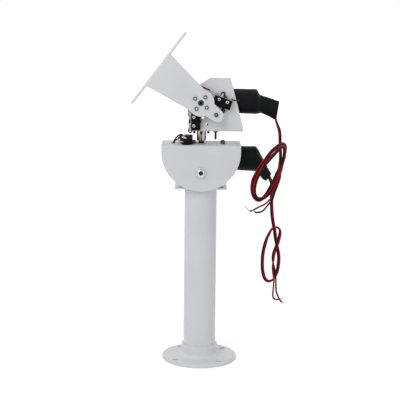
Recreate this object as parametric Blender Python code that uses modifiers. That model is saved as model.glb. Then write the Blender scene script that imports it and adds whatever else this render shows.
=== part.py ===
"""Pan tilt camera mount: a flanged pole carries two worm gear motors that turn and tip a camera plate."""

import math

import bmesh
import bpy
from mathutils import Matrix, Vector

# Driving dimensions, in metres and degrees.
CLEARANCE = 0.0003

FLANGE_DIAMETER = 0.0844
FLANGE_THICKNESS = 0.0036
FLANGE_EDGE = 0.0008
FLANGE_HOLE_DIAMETER = 0.0065
FLANGE_HOLE_CIRCLE = 0.0692
FLANGE_HOLE_ANGLE = 39.5
COLLAR_WALL = 0.0021
COLLAR_HEIGHT = 0.0135
COLLAR_LIP = 0.0007
COVE_RADIUS = 0.0055

POLE_DIAMETER = 0.036
POLE_WALL = 0.0015
POLE_LENGTH = 0.1933
PLUG_LENGTH = 0.024

SHEET = 0.002
BEND_RADIUS = 0.0025

SADDLE_WIDTH = 0.058
SADDLE_TAB_RADIUS = 0.011
SADDLE_BOLT_DIAMETER = 0.006
SADDLE_BOLT_LENGTH = 0.020
SADDLE_BOLT_HEAD = 0.0105
SADDLE_BOLT_HEAD_HEIGHT = 0.0042

HOUSING_WIDTH = 0.087
HOUSING_DEPTH = 0.048
HOUSING_STRAIGHT = 0.0077
HOUSING_BOLT_RISE = 0.0173
HOUSING_BOLT_DROP = 0.0305
HOUSING_BOLT_DIAMETER = 0.005
HOUSING_BOLT_HEAD = 0.0088
HOUSING_BOLT_HEAD_HEIGHT = 0.0028
HOUSING_BOLT_HEAD_EDGE = 0.001
HOUSING_BOLT_SOCKET = 0.0036
HOUSING_BOLT_SOCKET_DEPTH = 0.0018
HOUSING_BOLT_TIP = 0.001
HOUSING_NUT_WIDTH = 0.008
HOUSING_NUT_HEIGHT = 0.004
WASHER_DIAMETER = 0.0112
WASHER_THICKNESS = 0.001
SHAFT_OPENING = 0.012
WIRE_HOLE_DIAMETER = 0.007
WIRE_HOLE_AT = (-0.031, -0.005)

GEARBOX_LENGTH = 0.046
GEARBOX_WIDTH = 0.032
GEARBOX_DEPTH = 0.025
GEARBOX_WALL = 0.0016
GEARBOX_COVER = 0.002
GEARBOX_OVERHANG = 0.0145
GEARBOX_SCREW_NEAR = -0.0085
GEARBOX_SCREW_FAR = 0.024
GEARBOX_SCREW_NEAR_SIDE = 0.0072
GEARBOX_SCREW_FAR_SIDE = 0.0091
SHAFT_DIAMETER = 0.006
SHAFT_LENGTH = 0.0145
MOTOR_DIAMETER = 0.0244
MOTOR_LENGTH = 0.0285
MOTOR_EDGE = 0.0008
MOTOR_AXIS_DEPTH = 0.0146
MOTOR_BOSS_DIAMETER = 0.009
MOTOR_BOSS_LENGTH = 0.0012
MOTOR_SHAFT_DIAMETER = 0.003
MOTOR_SHAFT_GRIP = 0.008
SLEEVE_WALL = 0.001

GEAR_MODULE = 0.00078
OUTPUT_TEETH = 30
PINION_TEETH = 10
GEAR_FACE = 0.0035
GEAR_TOP = -0.006
WHEEL_TEETH = 12
WHEEL_RADIUS = 0.0046
WHEEL_FACE = 0.0016
WORM_RADIUS = 0.0027
WORM_CORE_RADIUS = 0.002
WORM_THREAD_CENTRE = 0.0024
WORM_THREAD_RADIUS = 0.00055
WORM_TURNS = 4
IDLER_AXLE_DIAMETER = 0.003
TOOTH_RISE = 0.65
TOOTH_FALL = 1.0
TOOTH_ROOT_SHARE = 0.20
TOOTH_TIP_SHARE = 0.11

HUB_GAP = 0.0029
HUB_FLANGE_DIAMETER = 0.022
HUB_FLANGE = 0.002
HUB_BARREL_DIAMETER = 0.010
HUB_BARREL_LENGTH = 0.010
HUB_SCREW_RADIUS = 0.0078
HUB_SCREW_TIP = 0.0047
SCREW_DIAMETER = 0.003
SCREW_HEAD_DIAMETER = 0.0052
SCREW_HEAD_HEIGHT = 0.002

BRACKET_DEPTH = 0.048
BRACKET_LEFT = -0.014
BRACKET_RIGHT = 0.0453
BRACKET_FOOT = 0.0047
BRACKET_TOP_LEFT = 0.0092
BRACKET_TOP_RIGHT = 0.031
BRACKET_SHOULDER = 0.0435
BRACKET_HEIGHT = 0.0583
TILT_AXIS_HEIGHT = 0.0318
TILT_AXIS_OFFSET = -0.0008
PIVOT_OPENING = 0.014
BRACKET_SPARE_HOLES = ((0.0015, -0.0168), (0.006, -0.0245))
BRACKET_SPARE_HOLE_DIAMETER = 0.0028

ARM_SHEET = 0.003
ARM_HUB_RADIUS = 0.0145
ARM_ELEVATION = 37.2
ARM_WIDTH = 0.0424
ARM_NECK_WIDTH = 0.0271
ARM_TAIL_RADIUS = 0.0068
ARM_TAIL_LENGTH = 0.0222
ARM_TAIL_BLEND = 33.0
ARM_TAIL_SWEEP = 83.0
PLATE_DISTANCE = 0.0569
PLATE_UPPER = 0.0481
PLATE_LOWER = 0.0462
PLATE_DEPTH = 0.070
PLATE_BEND_RADIUS = 0.0035
PLATE_HOLE_DIAMETER = 0.0045
PLATE_HOLE_SPACING = (0.076, 0.048)

STOP_SCREW_DIAMETER = 0.0025
STOP_SCREW_HEAD = 0.0045
STOP_SCREW_HEAD_HEIGHT = 0.0016
PAN_STOP_RADIUS = 0.0158
PAN_STOP_LENGTH = 0.0135
TILT_STOP_RADIUS = 0.0208
TILT_STOP_LENGTH = 0.0118

SWITCH_LENGTH = 0.0198
SWITCH_WIDTH = 0.0102
SWITCH_THICKNESS = 0.0064
SWITCH_EDGE = 0.0004
PLUNGER_LENGTH = 0.003
PLUNGER_WIDTH = 0.0026
PLUNGER_REACH = 0.0009
PLUNGER_ROOT = 0.002
PLUNGER_TRAVEL = 0.0007
PAN_SWITCH_X = -0.0167
PAN_SWITCH_Y = 0.0131
PAN_SWITCH_TURN = 12.0
PAN_PLUNGER_OFFSET = 0.0009
UPPER_SWITCH_AT = (0.0224, 0.0)
UPPER_SWITCH_TURN = -19.8
UPPER_PLUNGER_OFFSET = -0.0008
LOWER_SWITCH_AT = (-0.0061, -0.0204)
LOWER_SWITCH_TURN = 90.0
LOWER_PLUNGER_OFFSET = -0.0003

# Each tail section: top and bottom offsets from the sleeve's end on the motor axis, and half thickness.
TILT_TAIL = (
    ((0.0035, 0.0077), (0.0048, -0.0125), 0.0095),
    ((0.0143, 0.0043), (0.0128, -0.0161), 0.0060),
    ((0.0250, 0.0008), (0.0218, -0.0207), 0.0028),
)
PAN_TAIL = (
    ((0.0030, 0.0094), (0.0008, -0.0141), 0.0125),
    ((0.0085, -0.0004), (0.0040, -0.0189), 0.0095),
    ((0.0140, -0.0109), (0.0080, -0.0236), 0.0060),
    ((0.0177, -0.0172), (0.0117, -0.0252), 0.0032),
)
# Where each cord leaves its tail: share of the end edge from its lower corner, reach off the edge, heading.
TILT_EXIT = (0.0, 0.0, (0.3, 0.0, -0.954))
PAN_EXIT = (0.5, 0.0012, (0.44, 0.0, -0.898))

CORD_WIDTH = 0.0038
LEAD_DIAMETER = 0.0016
LEAD_SPREAD = 0.0011
CORD_STEP = 2.2
# Routes of the cords and their bare ends, as they hang.
TILT_CORD_ROUTE = (
    (0.0849, -0.0095, 0.2697), (0.086, -0.0105, 0.2619), (0.087, -0.0085, 0.2492),
    (0.0875, -0.007, 0.2423), (0.0879, -0.007, 0.2365), (0.0878, -0.0085, 0.23),
    (0.0864, -0.0135, 0.224), (0.0837, -0.023, 0.2186), (0.0797, -0.036, 0.2122),
    (0.0747, -0.0465, 0.205), (0.0705, -0.053, 0.1992), (0.0658, -0.058, 0.1947),
    (0.0612, -0.062, 0.1936), (0.0567, -0.065, 0.1975), (0.0542, -0.067, 0.205),
    (0.0547, -0.0675, 0.2143), (0.0573, -0.0665, 0.221), (0.0615, -0.0635, 0.228),
    (0.0665, -0.0585, 0.2342), (0.0739, -0.0495, 0.2429), (0.0801, -0.041, 0.2476),
    (0.0855, -0.033, 0.25), (0.09, -0.0245, 0.2495), (0.0922, -0.0175, 0.245), (0.0917, -0.0155, 0.2365),
    (0.0895, -0.0195, 0.2287), (0.0867, -0.029, 0.2209), (0.0831, -0.0405, 0.2138),
    (0.078, -0.0505, 0.2062), (0.0722, -0.0575, 0.1997), (0.0662, -0.063, 0.196),
    (0.0613, -0.067, 0.1964), (0.0576, -0.07, 0.201), (0.0564, -0.0718, 0.2074),
    (0.0579, -0.0722, 0.2158), (0.0612, -0.07, 0.223), (0.0668, -0.0655, 0.2315),
    (0.0753, -0.0558, 0.2397), (0.0817, -0.0476, 0.2452), (0.0862, -0.0403, 0.248),
    (0.0893, -0.0328, 0.2472), (0.0908, -0.0265, 0.2417), (0.0905, -0.0245, 0.2349),
    (0.0886, -0.028, 0.2287), (0.0866, -0.036, 0.2221), (0.0844, -0.0455, 0.2158),
    (0.0814, -0.053, 0.2094), (0.0785, -0.0575, 0.203), (0.0764, -0.059, 0.1968),
)
TILT_RED_ROUTE = (
    (0.0686, -0.0598, 0.1892), (0.0608, -0.0675, 0.1867), (0.0531, -0.0738, 0.184), (0.0498, -0.076, 0.186),
    (0.0464, -0.0782, 0.190),
)
TILT_BLACK_ROUTE = (
    (0.0709, -0.0595, 0.187), (0.066, -0.0665, 0.183), (0.062, -0.0715, 0.1823), (0.058, -0.0755, 0.183),
    (0.054, -0.079, 0.1863),
)
PAN_CORD_ROUTE = (
    (0.0793, 0.0, 0.202), (0.0796, 0.0, 0.195), (0.0796, 0.0, 0.182),
    (0.0804, 0.001, 0.1685), (0.0819, 0.0025, 0.158), (0.0838, 0.003, 0.1487), (0.0852, 0.003, 0.1395),
    (0.0873, 0.003, 0.129), (0.0893, 0.003, 0.1175), (0.0887, 0.003, 0.1047), (0.0848, 0.003, 0.0936),
    (0.0781, 0.0015, 0.0894), (0.0732, 0.0, 0.0942), (0.0707, 0.0, 0.1064), (0.0711, -0.0005, 0.1227),
    (0.0744, -0.002, 0.138), (0.0794, -0.003, 0.1493), (0.0847, -0.004, 0.1537), (0.0886, -0.0045, 0.1502),
    (0.0889, -0.004, 0.142), (0.0865, -0.0035, 0.1328), (0.0833, -0.0035, 0.1235), (0.0824, -0.004, 0.1132),
    (0.0835, -0.004, 0.1028), (0.0846, -0.004, 0.0959),
)
PAN_RED_ROUTE = (
    (0.0834, -0.0055, 0.0845), (0.0829, -0.0055, 0.0763), (0.0838, -0.0055, 0.0716), (0.0877, -0.006, 0.0702),
    (0.0939, -0.007, 0.0716),
)
PAN_BLACK_ROUTE = (
    (0.0864, -0.003, 0.0842), (0.087, -0.0025, 0.0784), (0.0896, -0.002, 0.0717), (0.0925, -0.002, 0.0671),
    (0.096, -0.002, 0.0648),
)

# Heights and places that follow from the driving dimensions.
pole_radius = POLE_DIAMETER / 2
pole_bore = pole_radius - POLE_WALL
pole_bottom = FLANGE_THICKNESS + CLEARANCE
pole_top = pole_bottom + POLE_LENGTH
saddle_bottom = pole_top + CLEARANCE
saddle_top = saddle_bottom + SHEET
housing_bolt_z = saddle_top + HOUSING_BOLT_RISE
housing_top = housing_bolt_z + HOUSING_BOLT_DROP
housing_radius = HOUSING_WIDTH / 2
housing_inner = HOUSING_DEPTH / 2 - SHEET
pan_face_z = housing_top - SHEET - CLEARANCE
hub_length = HUB_FLANGE + HUB_BARREL_LENGTH
pan_hub_bottom = housing_top + HUB_GAP
bracket_bottom = pan_hub_bottom + hub_length + CLEARANCE
bracket_floor = bracket_bottom + SHEET
pan_hub_top = bracket_floor + CLEARANCE + HUB_FLANGE
bracket_front = -BRACKET_DEPTH / 2
tilt_axis_z = bracket_bottom + TILT_AXIS_HEIGHT
tilt_face_y = bracket_front + SHEET + CLEARANCE
tilt_hub_y = tilt_face_y - CLEARANCE - hub_length
arm_inner_y = tilt_hub_y - CLEARANCE
motor_start = GEARBOX_LENGTH - GEARBOX_OVERHANG + CLEARANCE
motor_end = motor_start + MOTOR_LENGTH
sleeve_radius = MOTOR_DIAMETER / 2 + CLEARANCE + SLEEVE_WALL
sleeve_end = motor_end + CLEARANCE + SLEEVE_WALL / 2
screw_hole = SCREW_DIAMETER / 2 + CLEARANCE
stop_screw_hole = STOP_SCREW_DIAMETER / 2 + CLEARANCE
shaft_hole = SHAFT_DIAMETER / 2 + CLEARANCE
hub_screw_spots = [
    (HUB_SCREW_RADIUS * math.cos(turn), HUB_SCREW_RADIUS * math.sin(turn))
    for turn in (0.0, math.pi / 2, math.pi, 3 * math.pi / 2)
]
gearbox_screw_spots = [
    (GEARBOX_SCREW_NEAR, -GEARBOX_SCREW_NEAR_SIDE),
    (GEARBOX_SCREW_NEAR, GEARBOX_SCREW_NEAR_SIDE),
    (GEARBOX_SCREW_FAR, -GEARBOX_SCREW_FAR_SIDE),
    (GEARBOX_SCREW_FAR, GEARBOX_SCREW_FAR_SIDE),
]
output_radius = GEAR_MODULE * OUTPUT_TEETH / 2
pinion_radius = GEAR_MODULE * PINION_TEETH / 2
wheel_module = 2 * WHEEL_RADIUS / WHEEL_TEETH
idler_y = WORM_RADIUS + WHEEL_RADIUS
idler_x = math.sqrt((output_radius + pinion_radius) ** 2 - idler_y**2)
mesh_angle = math.atan2(idler_y, idler_x)

# Frames in which pieces are drawn: outward from a motor's face, or along the arm.
facing_front = Matrix.Rotation(math.pi / 2, 4, "X")
arm_turn = Matrix.Rotation(math.pi - math.radians(ARM_ELEVATION), 4, "Z")
pan_drive = Matrix.Translation((0, 0, pan_face_z))
tilt_drive = Matrix.Translation((TILT_AXIS_OFFSET, tilt_face_y, tilt_axis_z)) @ facing_front
pan_hub_frame = Matrix.Translation((0, 0, pan_hub_top))
tilt_hub_frame = Matrix.Translation((TILT_AXIS_OFFSET, tilt_hub_y, tilt_axis_z)) @ facing_front @ arm_turn
arm_frame = Matrix.Translation((TILT_AXIS_OFFSET, arm_inner_y, tilt_axis_z)) @ facing_front @ arm_turn

PLANES = {
    "XY": Matrix(),
    "XZ": Matrix(((1, 0, 0, 0), (0, 0, 1, 0), (0, 1, 0, 0), (0, 0, 0, 1))),
    "YZ": Matrix(((0, 0, 1, 0), (1, 0, 0, 0), (0, 1, 0, 0), (0, 0, 0, 1))),
}
AXES = {
    "X": Matrix.Rotation(math.pi / 2, 4, "Y"),
    "Y": Matrix.Rotation(-math.pi / 2, 4, "X"),
    "Z": Matrix(),
}


# Scene set-up.
for item in list(bpy.data.objects):
    bpy.data.objects.remove(item, do_unlink=True)


def new_collection(name):
    collection = bpy.data.collections.new(name)
    bpy.context.scene.collection.children.link(collection)
    return collection


parts = new_collection("pan_tilt_camera_mount")
cutters = new_collection("cutters")


def new_axis(name, location, parent=None):
    axis = bpy.data.objects.new(name, None)
    axis.empty_display_size = 0.02
    axis.parent = parent
    axis.location = location
    parts.objects.link(axis)
    return axis


base_axis = new_axis("base_frame", (0, 0, 0))
pan_axis = new_axis("pan_axis", (0, 0, bracket_bottom), base_axis)
tilt_axis = new_axis("tilt_axis", (TILT_AXIS_OFFSET, 0, tilt_axis_z - bracket_bottom), pan_axis)
bpy.context.view_layer.update()


def new_material(name, colour, roughness, metallic=0.0):
    material = bpy.data.materials.new(name)
    material.use_nodes = True
    shader = material.node_tree.nodes["Principled BSDF"]
    shader.inputs["Base Color"].default_value = (*colour, 1.0)
    shader.inputs["Roughness"].default_value = roughness
    shader.inputs["Metallic"].default_value = metallic
    return material


white_paint = new_material("white_paint", (0.72, 0.73, 0.75), 0.45)
zinc = new_material("zinc", (0.55, 0.56, 0.58), 0.4, 1.0)
steel = new_material("steel", (0.6, 0.6, 0.62), 0.3, 1.0)
brass = new_material("brass", (0.62, 0.47, 0.22), 0.3, 1.0)
black_plastic = new_material("black_plastic", (0.02, 0.02, 0.022), 0.5)
shrink_film = new_material("shrink_film", (0.012, 0.012, 0.014), 0.42)
red_vinyl = new_material("red_vinyl", (0.35, 0.02, 0.02), 0.45)
black_vinyl = new_material("black_vinyl", (0.015, 0.013, 0.013), 0.45)


# Mesh helpers.
def finish_mesh(bm, name):
    bmesh.ops.remove_doubles(bm, verts=bm.verts, dist=1e-7)
    bmesh.ops.recalc_face_normals(bm, faces=bm.faces)
    mesh = bpy.data.meshes.new(name)
    bm.to_mesh(mesh)
    bm.free()
    mesh.shade_smooth()
    mesh.set_sharp_from_angle(angle=math.radians(35))
    return mesh


def box_mesh(low, high):
    low = Vector(low)
    high = Vector(high)
    size = high - low
    bm = bmesh.new()
    middle = Matrix.Translation((low + high) / 2)
    bmesh.ops.create_cube(bm, size=1.0, matrix=middle @ Matrix.Diagonal((*size, 1)))
    return finish_mesh(bm, "box")


def cylinder_mesh(radius, low, high, axis="Z", at=(0.0, 0.0), segments=20):
    middle = (low + high) / 2
    places = {"X": (middle, *at), "Y": (at[0], middle, at[1]), "Z": (*at, middle)}
    bm = bmesh.new()
    bmesh.ops.create_cone(
        bm,
        cap_ends=True,
        segments=segments,
        radius1=radius,
        radius2=radius,
        depth=high - low,
        matrix=Matrix.Translation(places[axis]) @ AXES[axis],
    )
    return finish_mesh(bm, "cylinder")


def evaluated_mesh(data):
    holder = bpy.data.objects.new("holder", data)
    bpy.context.scene.collection.objects.link(holder)
    depsgraph = bpy.context.evaluated_depsgraph_get()
    mesh = bpy.data.meshes.new_from_object(holder.evaluated_get(depsgraph))
    bpy.data.objects.remove(holder)
    bpy.data.curves.remove(data)
    bm = bmesh.new()
    bm.from_mesh(mesh)
    bpy.data.meshes.remove(mesh)
    return bm


def prism_mesh(outline, low, high, plane="XY"):
    curve = bpy.data.curves.new("outline", "CURVE")
    curve.dimensions = "2D"
    curve.fill_mode = "BOTH"
    curve.extrude = (high - low) / 2
    spline = curve.splines.new("POLY")
    spline.points.add(len(outline) - 1)
    for point, (x, y) in zip(spline.points, outline):
        point.co = (x, y, 0.0, 1.0)
    spline.use_cyclic_u = True
    bm = evaluated_mesh(curve)
    lift = Matrix.Translation((0, 0, (low + high) / 2))
    bmesh.ops.transform(bm, matrix=PLANES[plane] @ lift, verts=bm.verts)
    return finish_mesh(bm, "prism")


def tube_curve(points, radius, resolution):
    curve = bpy.data.curves.new("tube", "CURVE")
    curve.dimensions = "3D"
    curve.bevel_depth = radius
    curve.bevel_resolution = resolution
    curve.use_fill_caps = True
    spline = curve.splines.new("POLY")
    spline.points.add(len(points) - 1)
    for point, place_at in zip(spline.points, points):
        point.co = (*place_at, 1.0)
    return curve


def arc(centre, radius, start, end, count):
    angles = [math.radians(start + (end - start) * step / (count - 1)) for step in range(count)]
    return [(centre[0] + radius * math.cos(turn), centre[1] + radius * math.sin(turn)) for turn in angles]


def merged_mesh(meshes):
    bm = bmesh.new()
    for mesh in meshes:
        bm.from_mesh(mesh)
        bpy.data.meshes.remove(mesh)
    mesh = bpy.data.meshes.new("cutter")
    bm.to_mesh(mesh)
    bm.free()
    return mesh


def place(name, data, material, parent, frame=Matrix()):
    piece = bpy.data.objects.new(name, data)
    parts.objects.link(piece)
    piece.parent = parent
    piece.matrix_parent_inverse = parent.matrix_world.inverted()
    piece.matrix_world = frame
    data.materials.append(material)
    return piece


def combine(piece, operation, *meshes):
    tool = bpy.data.objects.new(f"{piece.name}_{operation.lower()}", merged_mesh(meshes))
    cutters.objects.link(tool)
    tool.parent = piece
    tool.hide_render = True
    tool.display_type = "WIRE"
    step = piece.modifiers.new(operation.title(), "BOOLEAN")
    step.operation = operation
    step.object = tool
    step.solver = "EXACT"


def turned(name, profile, material, parent, frame=Matrix(), steps=24, ring=False):
    mesh = bpy.data.meshes.new(name)
    edges = [(index, index + 1) for index in range(len(profile) - 1)]
    if ring:
        edges.append((len(profile) - 1, 0))
    mesh.from_pydata([(radius, 0.0, z) for radius, z in profile], edges, [])
    piece = place(name, mesh, material, parent, frame)
    spin = piece.modifiers.new("Spin", "SCREW")
    spin.steps = steps
    spin.render_steps = steps
    spin.use_merge_vertices = True
    spin.merge_threshold = 1e-6
    weld = piece.modifiers.new("Weld", "WELD")
    weld.merge_threshold = 1e-6
    return piece


def screw(name, diameter, length, head_diameter, head_height, parent, frame):
    radius = diameter / 2
    head = head_diameter / 2
    profile = [
        (0.0, head_height),
        (head * 0.72, head_height),
        (head, head_height * 0.55),
        (head, 0.0),
        (radius, 0.0),
        (radius, -length),
        (0.0, -length),
    ]
    return turned(name, profile, steel, parent, frame, steps=12)


# Base and pole.
def make_base():
    socket = pole_radius + CLEARANCE
    collar = socket + COLLAR_WALL
    rim = FLANGE_DIAMETER / 2
    lip_z = FLANGE_THICKNESS + COLLAR_HEIGHT
    cove = arc((collar + COVE_RADIUS, FLANGE_THICKNESS + COVE_RADIUS), COVE_RADIUS, 180, 270, 5)
    profile = [
        (0.0, FLANGE_THICKNESS),
        (socket, FLANGE_THICKNESS),
        (socket, lip_z),
        (collar - COLLAR_LIP, lip_z),
        (collar, lip_z - COLLAR_LIP),
        *cove,
        (rim - FLANGE_EDGE, FLANGE_THICKNESS),
        (rim, FLANGE_THICKNESS - FLANGE_EDGE),
        (rim, 0.0),
        (0.0, 0.0),
    ]
    flange = turned("base_flange", profile, white_paint, base_axis, steps=48)
    holes = []
    for quarter in range(4):
        turn = math.radians(FLANGE_HOLE_ANGLE + 90 * quarter)
        spot = (FLANGE_HOLE_CIRCLE / 2 * math.cos(turn), FLANGE_HOLE_CIRCLE / 2 * math.sin(turn))
        holes.append(cylinder_mesh(FLANGE_HOLE_DIAMETER / 2, -SHEET, FLANGE_THICKNESS + SHEET, at=spot))
    combine(flange, "DIFFERENCE", *holes)
    wall = [
        (pole_radius, pole_top),
        (pole_radius, pole_bottom),
        (pole_bore, pole_bottom),
        (pole_bore, pole_top),
    ]
    turned("pole_tube", wall, white_paint, base_axis, steps=48, ring=True)
    plug = pole_bore - CLEARANCE
    bolt_hole = SADDLE_BOLT_DIAMETER / 2 + CLEARANCE
    body = [
        (plug, pole_top),
        (plug, pole_top - PLUG_LENGTH),
        (bolt_hole, pole_top - PLUG_LENGTH),
        (bolt_hole, pole_top),
    ]
    turned("pole_plug", body, black_plastic, base_axis, steps=32, ring=True)


def make_saddle():
    outer = housing_inner - CLEARANCE
    inner = outer - SHEET
    tab_top = housing_bolt_z + SADDLE_TAB_RADIUS
    profile = [
        *arc((-outer + BEND_RADIUS, saddle_bottom + BEND_RADIUS), BEND_RADIUS, 180, 270, 4),
        *arc((outer - BEND_RADIUS, saddle_bottom + BEND_RADIUS), BEND_RADIUS, 270, 360, 4),
        (outer, tab_top),
        (inner, tab_top),
        (inner, saddle_top),
        (-inner, saddle_top),
        (-inner, tab_top),
        (-outer, tab_top),
    ]
    half = SADDLE_WIDTH / 2
    saddle = place("pole_saddle", prism_mesh(profile, -half, half, "YZ"), white_paint, base_axis)
    outline = [
        (-half, saddle_bottom - SHEET),
        (half, saddle_bottom - SHEET),
        (half, saddle_top),
        (SADDLE_TAB_RADIUS, saddle_top),
        *arc((0.0, housing_bolt_z), SADDLE_TAB_RADIUS, 0, 180, 13),
        (-SADDLE_TAB_RADIUS, saddle_top),
        (-half, saddle_top),
    ]
    combine(saddle, "INTERSECT", prism_mesh(outline, -HOUSING_DEPTH, HOUSING_DEPTH, "XZ"))
    bolt_hole = HOUSING_BOLT_DIAMETER / 2 + CLEARANCE
    stud_hole = SADDLE_BOLT_DIAMETER / 2 + CLEARANCE
    combine(
        saddle,
        "DIFFERENCE",
        cylinder_mesh(bolt_hole, -HOUSING_DEPTH, HOUSING_DEPTH, "Y", (0.0, housing_bolt_z)),
        cylinder_mesh(stud_hole, saddle_bottom - SHEET, saddle_top + SHEET),
    )
    seat = Matrix.Translation((0, 0, saddle_top + CLEARANCE))
    sizes = (SADDLE_BOLT_DIAMETER, SADDLE_BOLT_LENGTH, SADDLE_BOLT_HEAD, SADDLE_BOLT_HEAD_HEIGHT)
    screw("saddle_bolt", *sizes, base_axis, seat)


def make_housing():
    half = HOUSING_DEPTH / 2
    skirt = housing_top - HOUSING_STRAIGHT - housing_radius - SHEET
    profile = [
        (half, skirt),
        *arc((half - BEND_RADIUS, housing_top - BEND_RADIUS), BEND_RADIUS, 0, 90, 5),
        *arc((-half + BEND_RADIUS, housing_top - BEND_RADIUS), BEND_RADIUS, 90, 180, 5),
        (-half, skirt),
        (-housing_inner, skirt),
        (-housing_inner, housing_top - SHEET),
        (housing_inner, housing_top - SHEET),
        (housing_inner, skirt),
    ]
    body = prism_mesh(profile, -housing_radius, housing_radius, "YZ")
    housing = place("pan_housing", body, white_paint, base_axis)
    outline = [
        (-housing_radius, housing_top + SHEET),
        *arc((0.0, housing_top - HOUSING_STRAIGHT), housing_radius, 180, 360, 33),
        (housing_radius, housing_top + SHEET),
    ]
    combine(housing, "INTERSECT", prism_mesh(outline, -HOUSING_DEPTH, HOUSING_DEPTH, "XZ"))
    low = housing_top - 2 * SHEET
    high = housing_top + SHEET
    bolt_hole = HOUSING_BOLT_DIAMETER / 2 + CLEARANCE
    combine(
        housing,
        "DIFFERENCE",
        cylinder_mesh(SHAFT_OPENING / 2, low, high),
        cylinder_mesh(WIRE_HOLE_DIAMETER / 2, low, high, at=WIRE_HOLE_AT),
        cylinder_mesh(bolt_hole, -HOUSING_DEPTH, HOUSING_DEPTH, "Y", (0.0, housing_bolt_z)),
        *[cylinder_mesh(screw_hole, low, high, at=spot, segments=12) for spot in gearbox_screw_spots],
    )


def make_housing_bolt():
    radius = HOUSING_BOLT_DIAMETER / 2
    grip = HOUSING_DEPTH + 2 * CLEARANCE
    length = grip + HOUSING_NUT_HEIGHT + HOUSING_BOLT_TIP
    head = HOUSING_BOLT_HEAD / 2
    head_top = WASHER_THICKNESS + HOUSING_BOLT_HEAD_HEIGHT
    profile = [
        (0.0, head_top),
        (head - HOUSING_BOLT_HEAD_EDGE, head_top),
        (head, head_top - HOUSING_BOLT_HEAD_EDGE),
        (head, WASHER_THICKNESS),
        (WASHER_DIAMETER / 2, WASHER_THICKNESS),
        (WASHER_DIAMETER / 2, 0.0),
        (radius, 0.0),
        (radius, -length),
        (0.0, -length),
    ]
    front = Matrix.Translation((0, -HOUSING_DEPTH / 2 - CLEARANCE, housing_bolt_z)) @ facing_front
    bolt = turned("housing_bolt", profile, steel, base_axis, front, steps=16)
    socket_floor = head_top - HOUSING_BOLT_SOCKET_DEPTH
    socket = cylinder_mesh(HOUSING_BOLT_SOCKET / 2, socket_floor, head_top + WASHER_THICKNESS, segments=6)
    combine(bolt, "DIFFERENCE", socket)
    seat = HOUSING_DEPTH / 2 + CLEARANCE
    corner = HOUSING_NUT_WIDTH / math.sqrt(3)
    spot = (0.0, housing_bolt_z)
    body = cylinder_mesh(corner, seat, seat + HOUSING_NUT_HEIGHT, "Y", spot, segments=6)
    nut = place("housing_nut", body, steel, base_axis)
    hole = cylinder_mesh(radius + CLEARANCE, seat - SHEET, seat + HOUSING_NUT_HEIGHT + SHEET, "Y", spot, 16)
    combine(nut, "DIFFERENCE", hole)


# Gear motors, drawn with the output face at height zero and the motor along X.
def gear_outline(teeth, module, phase):
    radius = module * teeth / 2
    root = radius - TOOTH_FALL * module
    tip = radius + TOOTH_RISE * module
    pitch = 2 * math.pi / teeth
    outline = []
    for tooth in range(teeth):
        middle = phase + tooth * pitch
        corners = (
            (root, -TOOTH_ROOT_SHARE),
            (tip, -TOOTH_TIP_SHARE),
            (tip, TOOTH_TIP_SHARE),
            (root, TOOTH_ROOT_SHARE),
        )
        for reach, share in corners:
            turn = middle + share * pitch
            outline.append((reach * math.cos(turn), reach * math.sin(turn)))
    return outline


def make_gearbox(prefix, drive, parent):
    left = -GEARBOX_OVERHANG
    right = GEARBOX_LENGTH - GEARBOX_OVERHANG
    side = GEARBOX_WIDTH / 2
    seam = -GEARBOX_DEPTH + GEARBOX_COVER
    body = box_mesh((left, -side, seam + CLEARANCE), (right, side, 0.0))
    case = place(f"{prefix}_gearbox_case", body, zinc, parent, drive)
    wall = GEARBOX_WALL
    worm_hole = WORM_THREAD_CENTRE + WORM_THREAD_RADIUS + CLEARANCE
    combine(
        case,
        "DIFFERENCE",
        box_mesh((left + wall, -side + wall, seam - wall), (right - wall, side - wall, -wall)),
    )
    combine(
        case,
        "DIFFERENCE",
        cylinder_mesh(shaft_hole, -2 * wall, wall),
        cylinder_mesh(worm_hole, right - 2 * wall, right + wall, "X", (0.0, -MOTOR_AXIS_DEPTH), 16),
        *[cylinder_mesh(screw_hole, -2 * wall, wall, at=spot, segments=12) for spot in gearbox_screw_spots],
    )
    lid = box_mesh((left, -side, -GEARBOX_DEPTH), (right, side, seam))
    place(f"{prefix}_gearbox_cover", lid, zinc, parent, drive)
    length = SHEET + 2 * CLEARANCE + wall
    for number, spot in enumerate(gearbox_screw_spots, start=1):
        seat = drive @ Matrix.Translation((*spot, SHEET + 2 * CLEARANCE))
        name = f"{prefix}_gearbox_screw_{number}"
        screw(name, SCREW_DIAMETER, length, SCREW_HEAD_DIAMETER, SCREW_HEAD_HEIGHT, parent, seat)


def make_output_shaft(prefix, drive, parent):
    foot = -GEARBOX_DEPTH + GEARBOX_COVER + CLEARANCE
    body = cylinder_mesh(SHAFT_DIAMETER / 2, foot, SHAFT_LENGTH, segments=20)
    shaft = place(f"{prefix}_output_shaft", body, steel, parent, drive)
    gear = gear_outline(OUTPUT_TEETH, GEAR_MODULE, mesh_angle)
    combine(shaft, "UNION", prism_mesh(gear, GEAR_TOP - GEAR_FACE, GEAR_TOP))


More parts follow.
